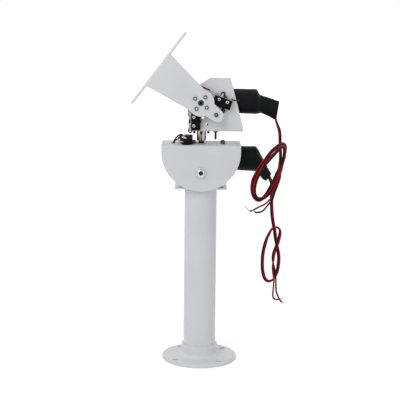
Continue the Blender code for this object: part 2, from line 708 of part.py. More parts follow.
def make_idler(prefix, drive, parent):
    foot = -GEARBOX_DEPTH + GEARBOX_COVER + CLEARANCE
    head = -GEARBOX_WALL - CLEARANCE
    body = cylinder_mesh(IDLER_AXLE_DIAMETER / 2, foot, head, segments=12)
    frame = drive @ Matrix.Translation((idler_x, idler_y, 0))
    idler = place(f"{prefix}_idler_gear", body, brass, parent, frame)
    pinion = gear_outline(PINION_TEETH, GEAR_MODULE, mesh_angle + math.pi + math.pi / PINION_TEETH)
    wheel = gear_outline(WHEEL_TEETH, wheel_module, -math.pi / 2 + math.pi / WHEEL_TEETH)
    middle = -MOTOR_AXIS_DEPTH
    combine(
        idler,
        "UNION",
        prism_mesh(pinion, GEAR_TOP - GEAR_FACE - CLEARANCE, GEAR_TOP + CLEARANCE),
        prism_mesh(wheel, middle - WHEEL_FACE / 2, middle + WHEEL_FACE / 2),
    )


def make_worm(prefix, drive, parent):
    lead = 2 * math.pi * WHEEL_RADIUS / WHEEL_TEETH
    half = WORM_TURNS * lead / 2
    tip = idler_x - half - 2 * WORM_THREAD_RADIUS
    heel = idler_x + half + 2 * WORM_THREAD_RADIUS
    frame = drive @ Matrix.Translation((0, 0, -MOTOR_AXIS_DEPTH))
    body = cylinder_mesh(WORM_CORE_RADIUS, tip, heel, "X", segments=16)
    worm = place(f"{prefix}_worm", body, steel, parent, frame)
    per_turn = 12
    points = []
    for step in range(WORM_TURNS * per_turn + 1):
        turn = (step / per_turn - WORM_TURNS / 2) * 2 * math.pi
        along = idler_x + lead * turn / (2 * math.pi)
        points.append((along, WORM_THREAD_CENTRE * math.cos(turn), WORM_THREAD_CENTRE * math.sin(turn)))
    thread = evaluated_mesh(tube_curve(points, WORM_THREAD_RADIUS, 1))
    combine(worm, "UNION", finish_mesh(thread, "thread"))
    stem_end = motor_start + MOTOR_SHAFT_GRIP
    stem = cylinder_mesh(MOTOR_SHAFT_DIAMETER / 2, heel - WORM_THREAD_RADIUS, stem_end, "X", segments=16)
    combine(worm, "UNION", stem)


def make_motor(prefix, drive, parent):
    radius = MOTOR_DIAMETER / 2
    bore = MOTOR_SHAFT_DIAMETER / 2 + CLEARANCE
    bore_end = MOTOR_SHAFT_GRIP + CLEARANCE
    boss = MOTOR_BOSS_DIAMETER / 2
    profile = [
        (0.0, MOTOR_LENGTH + MOTOR_BOSS_LENGTH),
        (boss, MOTOR_LENGTH + MOTOR_BOSS_LENGTH),
        (boss, MOTOR_LENGTH),
        (radius - MOTOR_EDGE, MOTOR_LENGTH),
        (radius, MOTOR_LENGTH - MOTOR_EDGE),
        (radius, MOTOR_EDGE),
        (radius - MOTOR_EDGE, 0.0),
        (bore, 0.0),
        (bore, bore_end),
        (0.0, bore_end),
    ]
    frame = drive @ Matrix.Translation((motor_start, 0, -MOTOR_AXIS_DEPTH)) @ AXES["X"]
    turned(f"{prefix}_motor", profile, steel, parent, frame, steps=28)


def make_sleeve(name, centre, tail, parent):
    sides = 24
    tops = [(motor_start, sleeve_radius), (sleeve_end, sleeve_radius)]
    bottoms = [(motor_start, -sleeve_radius), (sleeve_end, -sleeve_radius)]
    halves = [sleeve_radius, sleeve_radius]
    for top, bottom, half in tail:
        tops.append((sleeve_end + top[0], top[1]))
        bottoms.append((sleeve_end + bottom[0], bottom[1]))
        halves.append(half)
    bm = bmesh.new()
    rings = []
    for top, bottom, half in zip(tops, bottoms, halves):
        ring = []
        for side in range(sides):
            turn = 2 * math.pi * side / sides
            share = (1 + math.cos(turn)) / 2
            x = bottom[0] + (top[0] - bottom[0]) * share
            z = bottom[1] + (top[1] - bottom[1]) * share
            ring.append(bm.verts.new((x, half * math.sin(turn), z)))
        rings.append(ring)
    for first, second in zip(rings, rings[1:]):
        for side in range(sides):
            after = (side + 1) % sides
            bm.faces.new((first[side], first[after], second[after], second[side]))
    bm.faces.new(rings[0])
    bm.faces.new(rings[-1])
    sleeve = place(name, finish_mesh(bm, name), shrink_film, parent, Matrix.Translation(centre))
    bore = MOTOR_DIAMETER / 2 + CLEARANCE
    boss = MOTOR_BOSS_DIAMETER / 2 + CLEARANCE
    boss_end = motor_end + MOTOR_BOSS_LENGTH + CLEARANCE
    combine(
        sleeve,
        "DIFFERENCE",
        cylinder_mesh(bore, motor_start - SLEEVE_WALL, motor_end + CLEARANCE, "X", segments=28),
    )
    combine(sleeve, "DIFFERENCE", cylinder_mesh(boss, motor_end, boss_end, "X", segments=16))


def tail_exit(centre, tail, leaving):
    share, reach, heading = leaving
    heading = Vector(heading).normalized()
    top, bottom, _ = tail[-1]
    top = Vector(centre) + Vector((sleeve_end + top[0], 0, top[1]))
    bottom = Vector(centre) + Vector((sleeve_end + bottom[0], 0, bottom[1]))
    edge = (top - bottom).normalized()
    outward = Vector((edge.z, 0, -edge.x))
    return bottom.lerp(top, share) + outward * reach + heading * CLEARANCE, heading


# Hubs, bracket, arm and switches.
def make_hub(prefix, frame, length, parent):
    flange = HUB_FLANGE_DIAMETER / 2
    barrel = HUB_BARREL_DIAMETER / 2
    profile = [
        (flange, 0.0),
        (flange, -HUB_FLANGE),
        (barrel, -HUB_FLANGE),
        (barrel, -length),
        (shaft_hole, -length),
        (shaft_hole, 0.0),
    ]
    hub = turned(f"{prefix}_hub", profile, brass, parent, frame, steps=24, ring=True)
    holes = [
        cylinder_mesh(screw_hole, -2 * HUB_FLANGE, HUB_FLANGE, at=spot, segments=12)
        for spot in hub_screw_spots
    ]
    combine(hub, "DIFFERENCE", *holes)


def make_hub_screws(prefix, frame, sheet, head_height, parent):
    length = sheet + 2 * CLEARANCE + HUB_FLANGE + HUB_SCREW_TIP
    for number, spot in enumerate(hub_screw_spots, start=1):
        seat = frame @ Matrix.Translation((*spot, head_height))
        name = f"{prefix}_hub_screw_{number}"
        screw(name, SCREW_DIAMETER, length, SCREW_HEAD_DIAMETER, SCREW_HEAD_HEIGHT, parent, seat)


def make_bracket():
    half = BRACKET_DEPTH / 2
    wall = bracket_front + SHEET
    top = bracket_bottom + BRACKET_HEIGHT
    profile = [
        *arc((-half + BEND_RADIUS, bracket_bottom + BEND_RADIUS), BEND_RADIUS, 180, 270, 5),
        (half, bracket_bottom),
        (half, bracket_floor),
        (wall, bracket_floor),
        (wall, top),
        (bracket_front, top),
    ]
    body = prism_mesh(profile, BRACKET_LEFT, BRACKET_RIGHT, "YZ")
    bracket = place("tilt_bracket", body, white_paint, pan_axis)
    outline = [
        (BRACKET_LEFT, bracket_bottom - SHEET),
        (BRACKET_RIGHT, bracket_bottom - SHEET),
        (BRACKET_RIGHT, bracket_bottom + BRACKET_FOOT),
        (BRACKET_TOP_RIGHT, top),
        (BRACKET_TOP_LEFT, top),
        (BRACKET_LEFT, bracket_bottom + BRACKET_SHOULDER),
    ]
    combine(bracket, "INTERSECT", prism_mesh(outline, -BRACKET_DEPTH, BRACKET_DEPTH, "XZ"))
    near = bracket_front - SHEET
    far = wall + SHEET
    low = bracket_bottom - SHEET
    high = bracket_floor + SHEET
    spare = BRACKET_SPARE_HOLE_DIAMETER / 2
    spots = [(TILT_AXIS_OFFSET + x, tilt_axis_z + z) for x, z in gearbox_screw_spots]
    combine(
        bracket,
        "DIFFERENCE",
        cylinder_mesh(PIVOT_OPENING / 2, near, far, "Y", (TILT_AXIS_OFFSET, tilt_axis_z)),
        *[cylinder_mesh(screw_hole, near, far, "Y", spot, 12) for spot in spots],
        *[
            cylinder_mesh(spare, near, far, "Y", (x, tilt_axis_z + z), 12)
            for x, z in BRACKET_SPARE_HOLES
        ],
        cylinder_mesh(HUB_BARREL_DIAMETER / 2 + CLEARANCE, low, high),
        cylinder_mesh(stop_screw_hole, low, high, at=(PAN_STOP_RADIUS, 0.0), segments=12),
        *[cylinder_mesh(screw_hole, low, high, at=spot, segments=12) for spot in hub_screw_spots],
    )


def make_camera_arm():
    plate_out = PLATE_DISTANCE + ARM_SHEET
    back = ARM_SHEET - PLATE_DEPTH
    tail_end = -ARM_TAIL_LENGTH - ARM_TAIL_RADIUS
    corner = (plate_out - PLATE_BEND_RADIUS, ARM_SHEET - PLATE_BEND_RADIUS)
    profile = [
        (tail_end, 0.0),
        (PLATE_DISTANCE, 0.0),
        (PLATE_DISTANCE, back),
        (plate_out, back),
        *arc(corner, PLATE_BEND_RADIUS, 0, 90, 5),
        (tail_end, ARM_SHEET),
    ]
    body = prism_mesh(profile, -PLATE_UPPER, PLATE_LOWER, "XZ")
    arm = place("camera_arm", body, white_paint, tilt_axis, arm_frame)
    half = ARM_WIDTH / 2
    neck = math.degrees(math.asin(ARM_NECK_WIDTH / 2 / ARM_HUB_RADIUS))
    blend = 180 - ARM_TAIL_BLEND
    outline = [
        (plate_out + ARM_SHEET, -PLATE_UPPER),
        (plate_out + ARM_SHEET, PLATE_LOWER),
        (PLATE_DISTANCE, PLATE_LOWER),
        (PLATE_DISTANCE, half),
        *arc((0.0, 0.0), ARM_HUB_RADIUS, neck, blend, 8),
        *arc((-ARM_TAIL_LENGTH, 0.0), ARM_TAIL_RADIUS, 180 - ARM_TAIL_SWEEP, 180 + ARM_TAIL_SWEEP, 9),
        *arc((0.0, 0.0), ARM_HUB_RADIUS, 360 - blend, 360 - neck, 8),
        (PLATE_DISTANCE, -half),
        (PLATE_DISTANCE, -PLATE_UPPER),
    ]
    combine(arm, "INTERSECT", prism_mesh(outline, back - ARM_SHEET, 2 * ARM_SHEET))
    middle = ((PLATE_LOWER - PLATE_UPPER) / 2, ARM_SHEET - PLATE_DEPTH / 2)
    plate_holes = [
        (middle[0] + across * PLATE_HOLE_SPACING[0] / 2, middle[1] + deep * PLATE_HOLE_SPACING[1] / 2)
        for across in (-1, 1)
        for deep in (-1, 1)
    ]
    near = PLATE_DISTANCE - ARM_SHEET
    far = plate_out + ARM_SHEET
    low = -ARM_SHEET
    high = 2 * ARM_SHEET
    combine(
        arm,
        "DIFFERENCE",
        cylinder_mesh(shaft_hole, low, high),
        cylinder_mesh(stop_screw_hole, low, high, at=(-TILT_STOP_RADIUS, 0.0), segments=12),
        *[cylinder_mesh(screw_hole, low, high, at=spot, segments=12) for spot in hub_screw_spots],
        *[cylinder_mesh(PLATE_HOLE_DIAMETER / 2, near, far, "X", spot, 16) for spot in plate_holes],
    )


def make_stop_screws():
    seat = Matrix.Translation((PAN_STOP_RADIUS, 0, bracket_floor + CLEARANCE))
    sizes = (STOP_SCREW_HEAD, STOP_SCREW_HEAD_HEIGHT)
    screw("pan_stop_screw", STOP_SCREW_DIAMETER, PAN_STOP_LENGTH, *sizes, pan_axis, seat)
    seat = arm_frame @ Matrix.Translation((-TILT_STOP_RADIUS, 0, ARM_SHEET + CLEARANCE))
    screw("tilt_stop_screw", STOP_SCREW_DIAMETER, TILT_STOP_LENGTH, *sizes, tilt_axis, seat)


def make_switch(name, frame, plunger_offset, parent):
    half = Vector((SWITCH_LENGTH / 2, SWITCH_WIDTH / 2))
    body = box_mesh((-half.x, -half.y, 0.0), (half.x, half.y, SWITCH_THICKNESS))
    case = place(f"{name}_switch", body, black_plastic, parent, frame)
    bevel = case.modifiers.new("Edges", "BEVEL")
    bevel.width = SWITCH_EDGE
    bevel.segments = 1
    middle = SWITCH_THICKNESS / 2
    long = PLUNGER_LENGTH / 2
    wide = PLUNGER_WIDTH / 2
    slot = PLUNGER_ROOT + PLUNGER_TRAVEL + CLEARANCE
    combine(
        case,
        "DIFFERENCE",
        box_mesh(
            (plunger_offset - long - CLEARANCE, -half.y - SWITCH_EDGE, middle - wide - CLEARANCE),
            (plunger_offset + long + CLEARANCE, -half.y + slot, middle + wide + CLEARANCE),
        ),
    )
    button = box_mesh(
        (-long, -PLUNGER_REACH, -wide),
        (long, PLUNGER_ROOT, wide),
    )
    seat = frame @ Matrix.Translation((plunger_offset, -half.y, middle))
    place(f"{name}_plunger", button, black_plastic, parent, seat)


def make_switches():
    along_y = Matrix.Rotation(math.pi / 2, 4, "Z")
    for name, side in (("pan_front", -1), ("pan_rear", 1)):
        seat = Matrix.Translation((PAN_SWITCH_X, side * PAN_SWITCH_Y, housing_top + CLEARANCE))
        turned_seat = seat @ Matrix.Rotation(math.radians(-side * PAN_SWITCH_TURN), 4, "Z") @ along_y
        make_switch(name, turned_seat, side * PAN_PLUNGER_OFFSET, base_axis)
    for name, spot, turn, offset in (
        ("tilt_upper", UPPER_SWITCH_AT, UPPER_SWITCH_TURN, UPPER_PLUNGER_OFFSET),
        ("tilt_lower", LOWER_SWITCH_AT, LOWER_SWITCH_TURN, LOWER_PLUNGER_OFFSET),
    ):
        seat = Matrix.Translation((spot[0], bracket_front - CLEARANCE, tilt_axis_z + spot[1]))
        turned_seat = seat @ facing_front @ Matrix.Rotation(math.radians(turn), 4, "Z")
        make_switch(name, turned_seat, offset, pan_axis)


# Cords.
def smooth_route(points, step):
    points = [Vector(point) for point in points]
    padded = [2 * points[0] - points[1], *points, 2 * points[-1] - points[-2]]
    fine = []
    for index in range(1, len(padded) - 2):
        before, start, end, after = padded[index - 1 : index + 3]
        for part in range(12):
            t = part / 12
            fine.append(
                0.5
                * (
                    2 * start
                    + (end - before) * t
                    + (2 * before - 5 * start + 4 * end - after) * t**2
                    + (3 * start - before - 3 * end + after) * t**3
                )
            )
    fine.append(points[-1])
    route = [fine[0]]
    travelled = 0.0
    total = sum((b - a).length for a, b in zip(fine, fine[1:]))
    count = max(4, round(total / step))
    spacing = total / count
    for a, b in zip(fine, fine[1:]):
        travelled += (b - a).length
        if travelled >= spacing * len(route) and len(route) < count:
            route.append(b)
    route.append(fine[-1])
    return route


def least_self_gap(route, diameter):
    skip = math.ceil(3 / CORD_STEP) + 1
    gaps = [
        (route[a] - route[b]).length - diameter
        for a in range(len(route))
        for b in range(a + skip, len(route))
    ]
    return min(gaps)


def make_cord(name, exit_point, heading, route, parent):
    path = [exit_point, *smooth_route([exit_point + heading * CORD_WIDTH, *route], CORD_STEP * CORD_WIDTH)]
    place(name, tube_curve(path, CORD_WIDTH / 2, 2), red_vinyl, parent)
    print(f"{name}: least gap to itself {1000 * least_self_gap(path, CORD_WIDTH):.2f} mm")
    return path


def make_leads(prefix, path, routes, parent):
    end = path[-1]
    heading = (path[-1] - path[-2]).normalized()
    aside = (Vector(routes[1][1][0]) - Vector(routes[0][1][0])).cross(heading).cross(heading) * -1
    aside.normalize()
    for (colour, route, material), side in zip(routes, (-1, 1)):
        start = end + heading * CLEARANCE + aside * LEAD_SPREAD * side
        lead = [start, *smooth_route([start + heading * LEAD_DIAMETER, *route], CORD_STEP * LEAD_DIAMETER)]
        place(f"{prefix}_lead_{colour}", tube_curve(lead, LEAD_DIAMETER / 2, 2), material, parent)


make_base()
make_saddle()
make_housing()
make_housing_bolt()
for drive_prefix, drive_frame, carrier, driven in (
    ("pan", pan_drive, base_axis, pan_axis),
    ("tilt", tilt_drive, pan_axis, tilt_axis),
):
    make_gearbox(drive_prefix, drive_frame, carrier)
    make_motor(drive_prefix, drive_frame, carrier)
    make_worm(drive_prefix, drive_frame, carrier)
    make_idler(drive_prefix, drive_frame, carrier)
    make_output_shaft(drive_prefix, drive_frame, driven)
pan_motor = (0.0, 0.0, pan_face_z - MOTOR_AXIS_DEPTH)
tilt_motor = (TILT_AXIS_OFFSET, tilt_face_y + MOTOR_AXIS_DEPTH, tilt_axis_z)
make_sleeve("pan_motor_sleeve", pan_motor, PAN_TAIL, base_axis)
make_sleeve("tilt_motor_sleeve", tilt_motor, TILT_TAIL, pan_axis)
make_hub("pan", pan_hub_frame, pan_hub_top - pan_hub_bottom, pan_axis)
make_hub("tilt", tilt_hub_frame, hub_length, tilt_axis)
make_hub_screws("pan", pan_hub_frame, SHEET, CLEARANCE, pan_axis)
make_hub_screws("tilt", tilt_hub_frame, ARM_SHEET, ARM_SHEET + 2 * CLEARANCE, tilt_axis)
make_bracket()
make_camera_arm()
make_stop_screws()
make_switches()
tilt_path = make_cord(
    "tilt_cord", *tail_exit(tilt_motor, TILT_TAIL, TILT_EXIT), TILT_CORD_ROUTE, pan_axis
)
pan_path = make_cord(
    "pan_cord", *tail_exit(pan_motor, PAN_TAIL, PAN_EXIT), PAN_CORD_ROUTE, base_axis
)
make_leads(
    "tilt",
    tilt_path,
    (("red", TILT_RED_ROUTE, red_vinyl), ("black", TILT_BLACK_ROUTE, black_vinyl)),
    pan_axis,
)
make_leads(
    "pan",
    pan_path,
    (("red", PAN_RED_ROUTE, red_vinyl), ("black", PAN_BLACK_ROUTE, black_vinyl)),
    base_axis,
)
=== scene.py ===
"""Looks of the pan tilt camera mount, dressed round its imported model."""

from math import atan2, cos, pi, radians, sin, sqrt

import bmesh
import bpy
from mathutils import Matrix, Quaternion, Vector, noise


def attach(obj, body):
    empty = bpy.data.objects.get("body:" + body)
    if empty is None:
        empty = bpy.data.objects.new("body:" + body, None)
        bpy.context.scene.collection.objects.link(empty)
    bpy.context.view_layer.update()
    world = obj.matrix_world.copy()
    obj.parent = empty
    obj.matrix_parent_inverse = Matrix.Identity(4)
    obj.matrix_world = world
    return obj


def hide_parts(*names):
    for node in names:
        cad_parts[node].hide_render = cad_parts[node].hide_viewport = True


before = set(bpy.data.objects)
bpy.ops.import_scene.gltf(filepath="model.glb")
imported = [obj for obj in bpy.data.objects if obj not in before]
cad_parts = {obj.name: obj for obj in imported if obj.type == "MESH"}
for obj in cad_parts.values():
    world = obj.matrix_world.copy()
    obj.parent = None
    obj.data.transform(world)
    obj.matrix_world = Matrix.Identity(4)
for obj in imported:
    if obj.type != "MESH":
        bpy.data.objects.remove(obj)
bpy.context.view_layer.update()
scene = bpy.context.scene

# Sizes of the solids and of the pieces that dress them, in metres.
GAP = 0.0003
SHEET = 0.002
ARM_SHEET = 0.003
POLE_RADIUS = 0.018
POLE_BOTTOM = 0.0039
POLE_TOP = 0.1972
FLANGE_RADIUS = 0.0422
FLANGE_THICKNESS = 0.0036
FLANGE_HOLE_RADIUS = 0.00325
FLANGE_HOLE_CIRCLE = 0.0346
FLANGE_HOLE_ANGLE = 39.5
COLLAR_RADIUS = 0.0204
COLLAR_TOP = 0.0171
SADDLE_TOP = 0.1995
HOUSING_TOP = 0.2473
HOUSING_FRONT = -0.024
HOUSING_BOLT_Z = 0.2168
BRACKET_FLOOR = 0.2645
BRACKET_FRONT = -0.024
PAN_FACE_Z = 0.245
PAN_HUB_TOP = 0.2668
PAN_HUB_LENGTH = 0.0166
TILT_HUB_LENGTH = 0.012
TILT_X = -0.0008
TILT_Z = 0.2943
TILT_FACE_Y = -0.0217
TILT_HUB_Y = -0.034
ARM_INNER_Y = -0.0343
ARM_ELEVATION = 37.2
MOTOR_DEPTH = 0.0146
MOTOR_START = 0.0318
MOTOR_END = 0.0603
SLEEVE_END = 0.0611
SLEEVE_RADIUS = 0.0135
SLEEVE_BORE = 0.0125
HUB_SCREW_RADIUS = 0.0078
HUB_FLANGE_THICKNESS = 0.002
GEARBOX_SCREWS = ((-0.0085, -0.0072), (-0.0085, 0.0072), (0.024, -0.0091), (0.024, 0.0091))
PAN_STOP_RADIUS = 0.0158
TILT_STOP_RADIUS = 0.0208
CORD_WIDTH = 0.0038
STRAND_RADIUS = 0.00095
PAN_STRAND_RADIUS = 0.0011
LEAD_SPREAD = 0.0011
WIRE_RADIUS = 0.00075

shift = Matrix.Translation


def spin(angle, axis):
    return Matrix.Rotation(angle, 4, axis)


facing_front = spin(pi / 2, "X")
arm_turn = spin(pi - radians(ARM_ELEVATION), "Z")
pan_drive = shift((0, 0, PAN_FACE_Z))
tilt_drive = shift((TILT_X, TILT_FACE_Y, TILT_Z)) @ facing_front
pan_hub_frame = shift((0, 0, PAN_HUB_TOP))
tilt_hub_frame = shift((TILT_X, TILT_HUB_Y, TILT_Z)) @ facing_front @ arm_turn
arm_frame = shift((TILT_X, ARM_INNER_Y, TILT_Z)) @ facing_front @ arm_turn


# Shared surface effects.
def set_values(node, **values):
    for label, value in values.items():
        node.inputs[label.replace("_", " ")].default_value = value


def set_input(tree, socket, value):
    if isinstance(value, (int, float)):
        socket.default_value = value
    else:
        tree.links.new(value, socket)


def add_noise(tree, place, scale, detail):
    node = tree.nodes.new("ShaderNodeTexNoise")
    set_values(node, Detail=detail)
    tree.links.new(place, node.inputs["Vector"])
    set_input(tree, node.inputs["Scale"], scale)
    return node.outputs["Fac"]


def add_math(tree, operation, first, second):
    node = tree.nodes.new("ShaderNodeMath")
    node.operation = operation
    set_input(tree, node.inputs[0], first)
    set_input(tree, node.inputs[1], second)
    return node.outputs[0]


def add_mix(tree, share, first, second):
    node = tree.nodes.new("ShaderNodeMix")
    node.data_type = "RGBA"
    for label, value in (("Factor", share), ("A", first), ("B", second)):
        tree.links.new(value, node.inputs[label])
    return node.outputs["Result"]


def add_range(tree, value, low, high, to_low, to_high):
    node = tree.nodes.new("ShaderNodeMapRange")
    tree.links.new(value, node.inputs["Value"])
    for label, setting in (("From Min", low), ("From Max", high), ("To Min", to_low), ("To Max", to_high)):
        set_input(tree, node.inputs[label], setting)
    return node.outputs["Result"]


def new_group(name, scales):
    """A group with two colours, two limits of gloss and its own scales, and the place on the object."""
    tree = bpy.data.node_groups.new(name, "ShaderNodeTree")
    colours = (("Colour", "Color"), ("Tone", "Color"))
    for label, kind in (*colours, *scales, ("Gloss Low", "Float"), ("Gloss High", "Float")):
        tree.interface.new_socket(label, in_out="INPUT", socket_type=f"NodeSocket{kind}")
    for label, kind in (colours[0], ("Roughness", "Float"), ("Height", "Float")):
        tree.interface.new_socket(label, in_out="OUTPUT", socket_type=f"NodeSocket{kind}")
    place = tree.nodes.new("ShaderNodeTexCoord").outputs["Object"]
    return tree, tree.nodes.new("NodeGroupInput").outputs, place


def end_group(tree, inputs, share, gloss, height):
    """Sets the share of the second colour, what changes the gloss with its limits, and the height."""
    outputs = tree.nodes.new("NodeGroupOutput").inputs
    tree.links.new(add_mix(tree, share, inputs["Colour"], inputs["Tone"]), outputs["Colour"])
    rough = add_range(tree, *gloss, inputs["Gloss Low"], inputs["Gloss High"])
    tree.links.new(rough, outputs["Roughness"])
    tree.links.new(height, outputs["Height"])
    return tree


def make_skin_group():
    """Broad tone change, a fine grain and a change of gloss, for coats and mouldings."""
    scales = (("Tone Scale", "Float"), ("Grain Scale", "Float"))
    tree, inputs, place = new_group("coat_skin", scales)
    broad = add_noise(tree, place, inputs["Tone Scale"], 5.0)
    grain = add_noise(tree, place, inputs["Grain Scale"], 2.0)
    share = add_range(tree, broad, 0.42, 0.68, 0.0, 1.0)
    return end_group(tree, inputs, share, (broad, 0.3, 0.7), grain)


def make_scratch_group():
    """Fine lines along one way and worn patches, for bare metal."""
    tree, inputs, place = new_group("metal_scratches", [("Stretch", "Vector")])
    stretch = tree.nodes.new("ShaderNodeVectorMath")
    stretch.operation = "MULTIPLY"
    tree.links.new(place, stretch.inputs[0])
    tree.links.new(inputs["Stretch"], stretch.inputs[1])
    lines = add_noise(tree, stretch.outputs["Vector"], 1.0, 3.0)
    patches = add_noise(tree, place, 260.0, 4.0)
    share = add_range(tree, patches, 0.45, 0.7, 0.0, 1.0)
    rub = add_math(tree, "MULTIPLY", add_math(tree, "ADD", lines, patches), 0.5)
    return end_group(tree, inputs, share, (rub, 0.35, 0.65), lines)


skin_group = make_skin_group()
scratch_group = make_scratch_group()


def new_finish(name, group, colour, tone, gloss, scales, bump, distance, **shader_values):
    material = bpy.data.materials.new(name)
    material.use_nodes = True
    tree = material.node_tree
    shader = tree.nodes["Principled BSDF"]
    skin = tree.nodes.new("ShaderNodeGroup")
    skin.node_tree = group
    for socket, value in zip(skin.inputs, ((*colour, 1.0), (*tone, 1.0), *scales, *gloss)):
        socket.default_value = value
    relief = tree.nodes.new("ShaderNodeBump")
    set_values(relief, Strength=bump, Distance=distance)
    tree.links.new(skin.outputs["Colour"], shader.inputs["Base Color"])
    tree.links.new(skin.outputs["Roughness"], shader.inputs["Roughness"])
    tree.links.new(skin.outputs["Height"], relief.inputs["Height"])
    tree.links.new(relief.outputs["Normal"], shader.inputs["Normal"])
    set_values(shader, **shader_values)
    return material


def coat(name, colour, tone, gloss, texture, **shader_values):
    *scales, bump, distance = texture
    return new_finish(name, skin_group, colour, tone, gloss, scales, bump, distance, **shader_values)


def bare_metal(name, colour, tone, gloss, stretch=(300.0, 300.0, 4000.0), bump=0.15):
    return new_finish(name, scratch_group, colour, tone, gloss, [stretch], bump, 0.00004, Metallic=1.0)


# Finishes: two colours, limits of roughness, and a texture with the scales of its tone and grain and the
# strength and depth of its bump.
matt = {"Specular_IOR_Level": 0.22}
dull = {"Specular_IOR_Level": 0.08}
paint = (22.0, 1800.0, 0.12, 0.00008)
smooth_paint = (22.0, 1800.0, 0.06, 0.00008)
film = (90.0, 420.0, 0.35, 0.0003)
moulded = (160.0, 3800.0, 0.25, 0.00006)
fine = (160.0, 3000.0, 0.15, 0.00005)
vinyl = (120.0, 900.0, 0.2, 0.0001)
cast = (70.0, 900.0, 0.35, 0.00015)
white_coat = coat("white_coat", (0.74, 0.75, 0.77), (0.71, 0.72, 0.745), (0.36, 0.46), paint)
# A smoother copy of the white coat whose colour is painted lighter, as painted light on the shaded saddle
# ends.
gloss_and_painted_light_coat = coat("gloss_and_painted_light_coat", (0.8, 0.81, 0.83), (0.77, 0.78, 0.805), (0.12, 0.2), smooth_paint)
shrink_film = coat("shrink_film", (0.0035, 0.004, 0.005), (0.006, 0.0065, 0.0075), (0.42, 0.58), film, **dull)
switch_plastic = coat(
    "switch_plastic", (0.006, 0.006, 0.007), (0.01, 0.01, 0.011), (0.72, 0.88), moulded, **dull
)
plunger_plastic = coat("plunger_plastic", (0.02, 0.02, 0.022), (0.03, 0.03, 0.032), (0.35, 0.5), fine, **matt)
# A near-black finish, used only as a painted dark reflection on the sides of the hubs' barrels.
painted_dark_reflection = coat("painted_dark_reflection", (0.014, 0.014, 0.012), (0.022, 0.022, 0.019), (0.72, 0.88), fine, **dull)
red_vinyl = coat("red_vinyl", (0.27, 0.009, 0.014), (0.2, 0.006, 0.01), (0.36, 0.5), vinyl, **dull)
dark_red_vinyl = coat(
    "dark_red_vinyl", (0.13, 0.006, 0.011), (0.09, 0.004, 0.008), (0.3, 0.45), vinyl, **matt
)
black_vinyl = coat("black_vinyl", (0.011, 0.006, 0.006), (0.018, 0.01, 0.01), (0.36, 0.5), vinyl, **dull)
zinc_cast = coat("zinc_cast", (0.46, 0.47, 0.49), (0.4, 0.41, 0.43), (0.38, 0.52), cast, Metallic=1.0)
plated_steel = bare_metal("plated_steel", (0.62, 0.62, 0.63), (0.48, 0.48, 0.49), (0.2, 0.38))
grey_steel = bare_metal("grey_steel", (0.3, 0.3, 0.29), (0.2, 0.2, 0.19), (0.24, 0.4))
olive_steel = bare_metal("olive_steel", (0.085, 0.085, 0.074), (0.055, 0.055, 0.047), (0.3, 0.45))
# Dark steel for the dark steel parts, and for the insides of screw sockets as painted shade.
dark_steel_and_socket_shade = bare_metal("dark_steel_and_socket_shade", (0.045, 0.045, 0.048), (0.025, 0.025, 0.027), (0.3, 0.48))
turned_brass = bare_metal(
    "turned_brass", (0.66, 0.61, 0.5), (0.5, 0.46, 0.36), (0.26, 0.4), (900.0, 900.0, 9000.0)
)
solder_tin = bare_metal(
    "solder_tin", (0.5, 0.49, 0.46), (0.36, 0.35, 0.32), (0.2, 0.4), (900.0, 900.0, 900.0)
)
copper_strands = bare_metal(
    "copper_strands", (0.5, 0.42, 0.36), (0.36, 0.3, 0.26), (0.25, 0.4), (2500.0, 2500.0, 2500.0), 0.4
)


# Mesh helpers.
def add_object(name, data):
    thing = bpy.data.objects.new(name, data)
    scene.collection.objects.link(thing)
    return thing


def to_mesh(name, bm):
    mesh = bpy.data.meshes.new(name)
    bm.to_mesh(mesh)
    bm.free()
    return mesh


def to_piece(name, bm, materials, body, place=Matrix(), replaces=(), sharp=35.0):
    bmesh.ops.remove_doubles(bm, verts=bm.verts, dist=1e-7)
    bmesh.ops.recalc_face_normals(bm, faces=bm.faces)
    bm.transform(place)
    mesh = to_mesh(name, bm)
    mesh.shade_smooth()
    mesh.set_sharp_from_angle(angle=radians(sharp))
    for material in materials:
        mesh.materials.append(material)
    piece = add_object(name, mesh)
    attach(piece, body)
    if replaces:
        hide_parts(*replaces)
    return piece


def turns(count):
    return [2 * pi * step / count for step in range(count)]


def ring_radius(shape, radius, turn):
    if shape == "hex":
        part = turn % (pi / 3) - pi / 6
        return radius * cos(pi / 6) / cos(part)
    if shape == "cross":
        part = abs((turn + pi / 4) % (pi / 2) - pi / 4)
        return radius if part < pi / 14 else radius * 0.42
    return radius


def add_rings(bm, rings, steps, place=Matrix()):
    """Joins rings of (radius, height) from the top down; a zero radius closes an end.

    A ring may name a shape as well. Faces between two such rings take the second material."""
    rings = [(*ring, "round")[:3] for ring in rings]
    rows = []
    for radius, height, shape in rings:
        row = []
        for turn in turns(steps if radius else 1):
            reach = ring_radius(shape, radius, turn)
            row.append(bm.verts.new(place @ Vector((reach * cos(turn), reach * sin(turn), height))))
        rows.append(row)
    for index, (upper, lower) in enumerate(zip(rows, rows[1:])):
        shaped = "round" not in (rings[index][2], rings[index + 1][2])
        for step in range(steps):
            after = (step + 1) % steps
            if len(upper) == 1:
                face = bm.faces.new((upper[0], lower[step], lower[after]))
            elif len(lower) == 1:
                face = bm.faces.new((upper[step], upper[after], lower[0]))
            else:
                face = bm.faces.new((upper[step], upper[after], lower[after], lower[step]))
            face.material_index = 1 if shaped else 0


def turned(name, rings, steps, materials, body, place=Matrix(), replaces=(), closed=False):
    """A piece made of rings, whose last ring joins the first where it is closed."""
    bm = bmesh.new()
    add_rings(bm, [*rings, rings[0]] if closed else rings, steps)
    return to_piece(name, bm, materials, body, place, replaces)


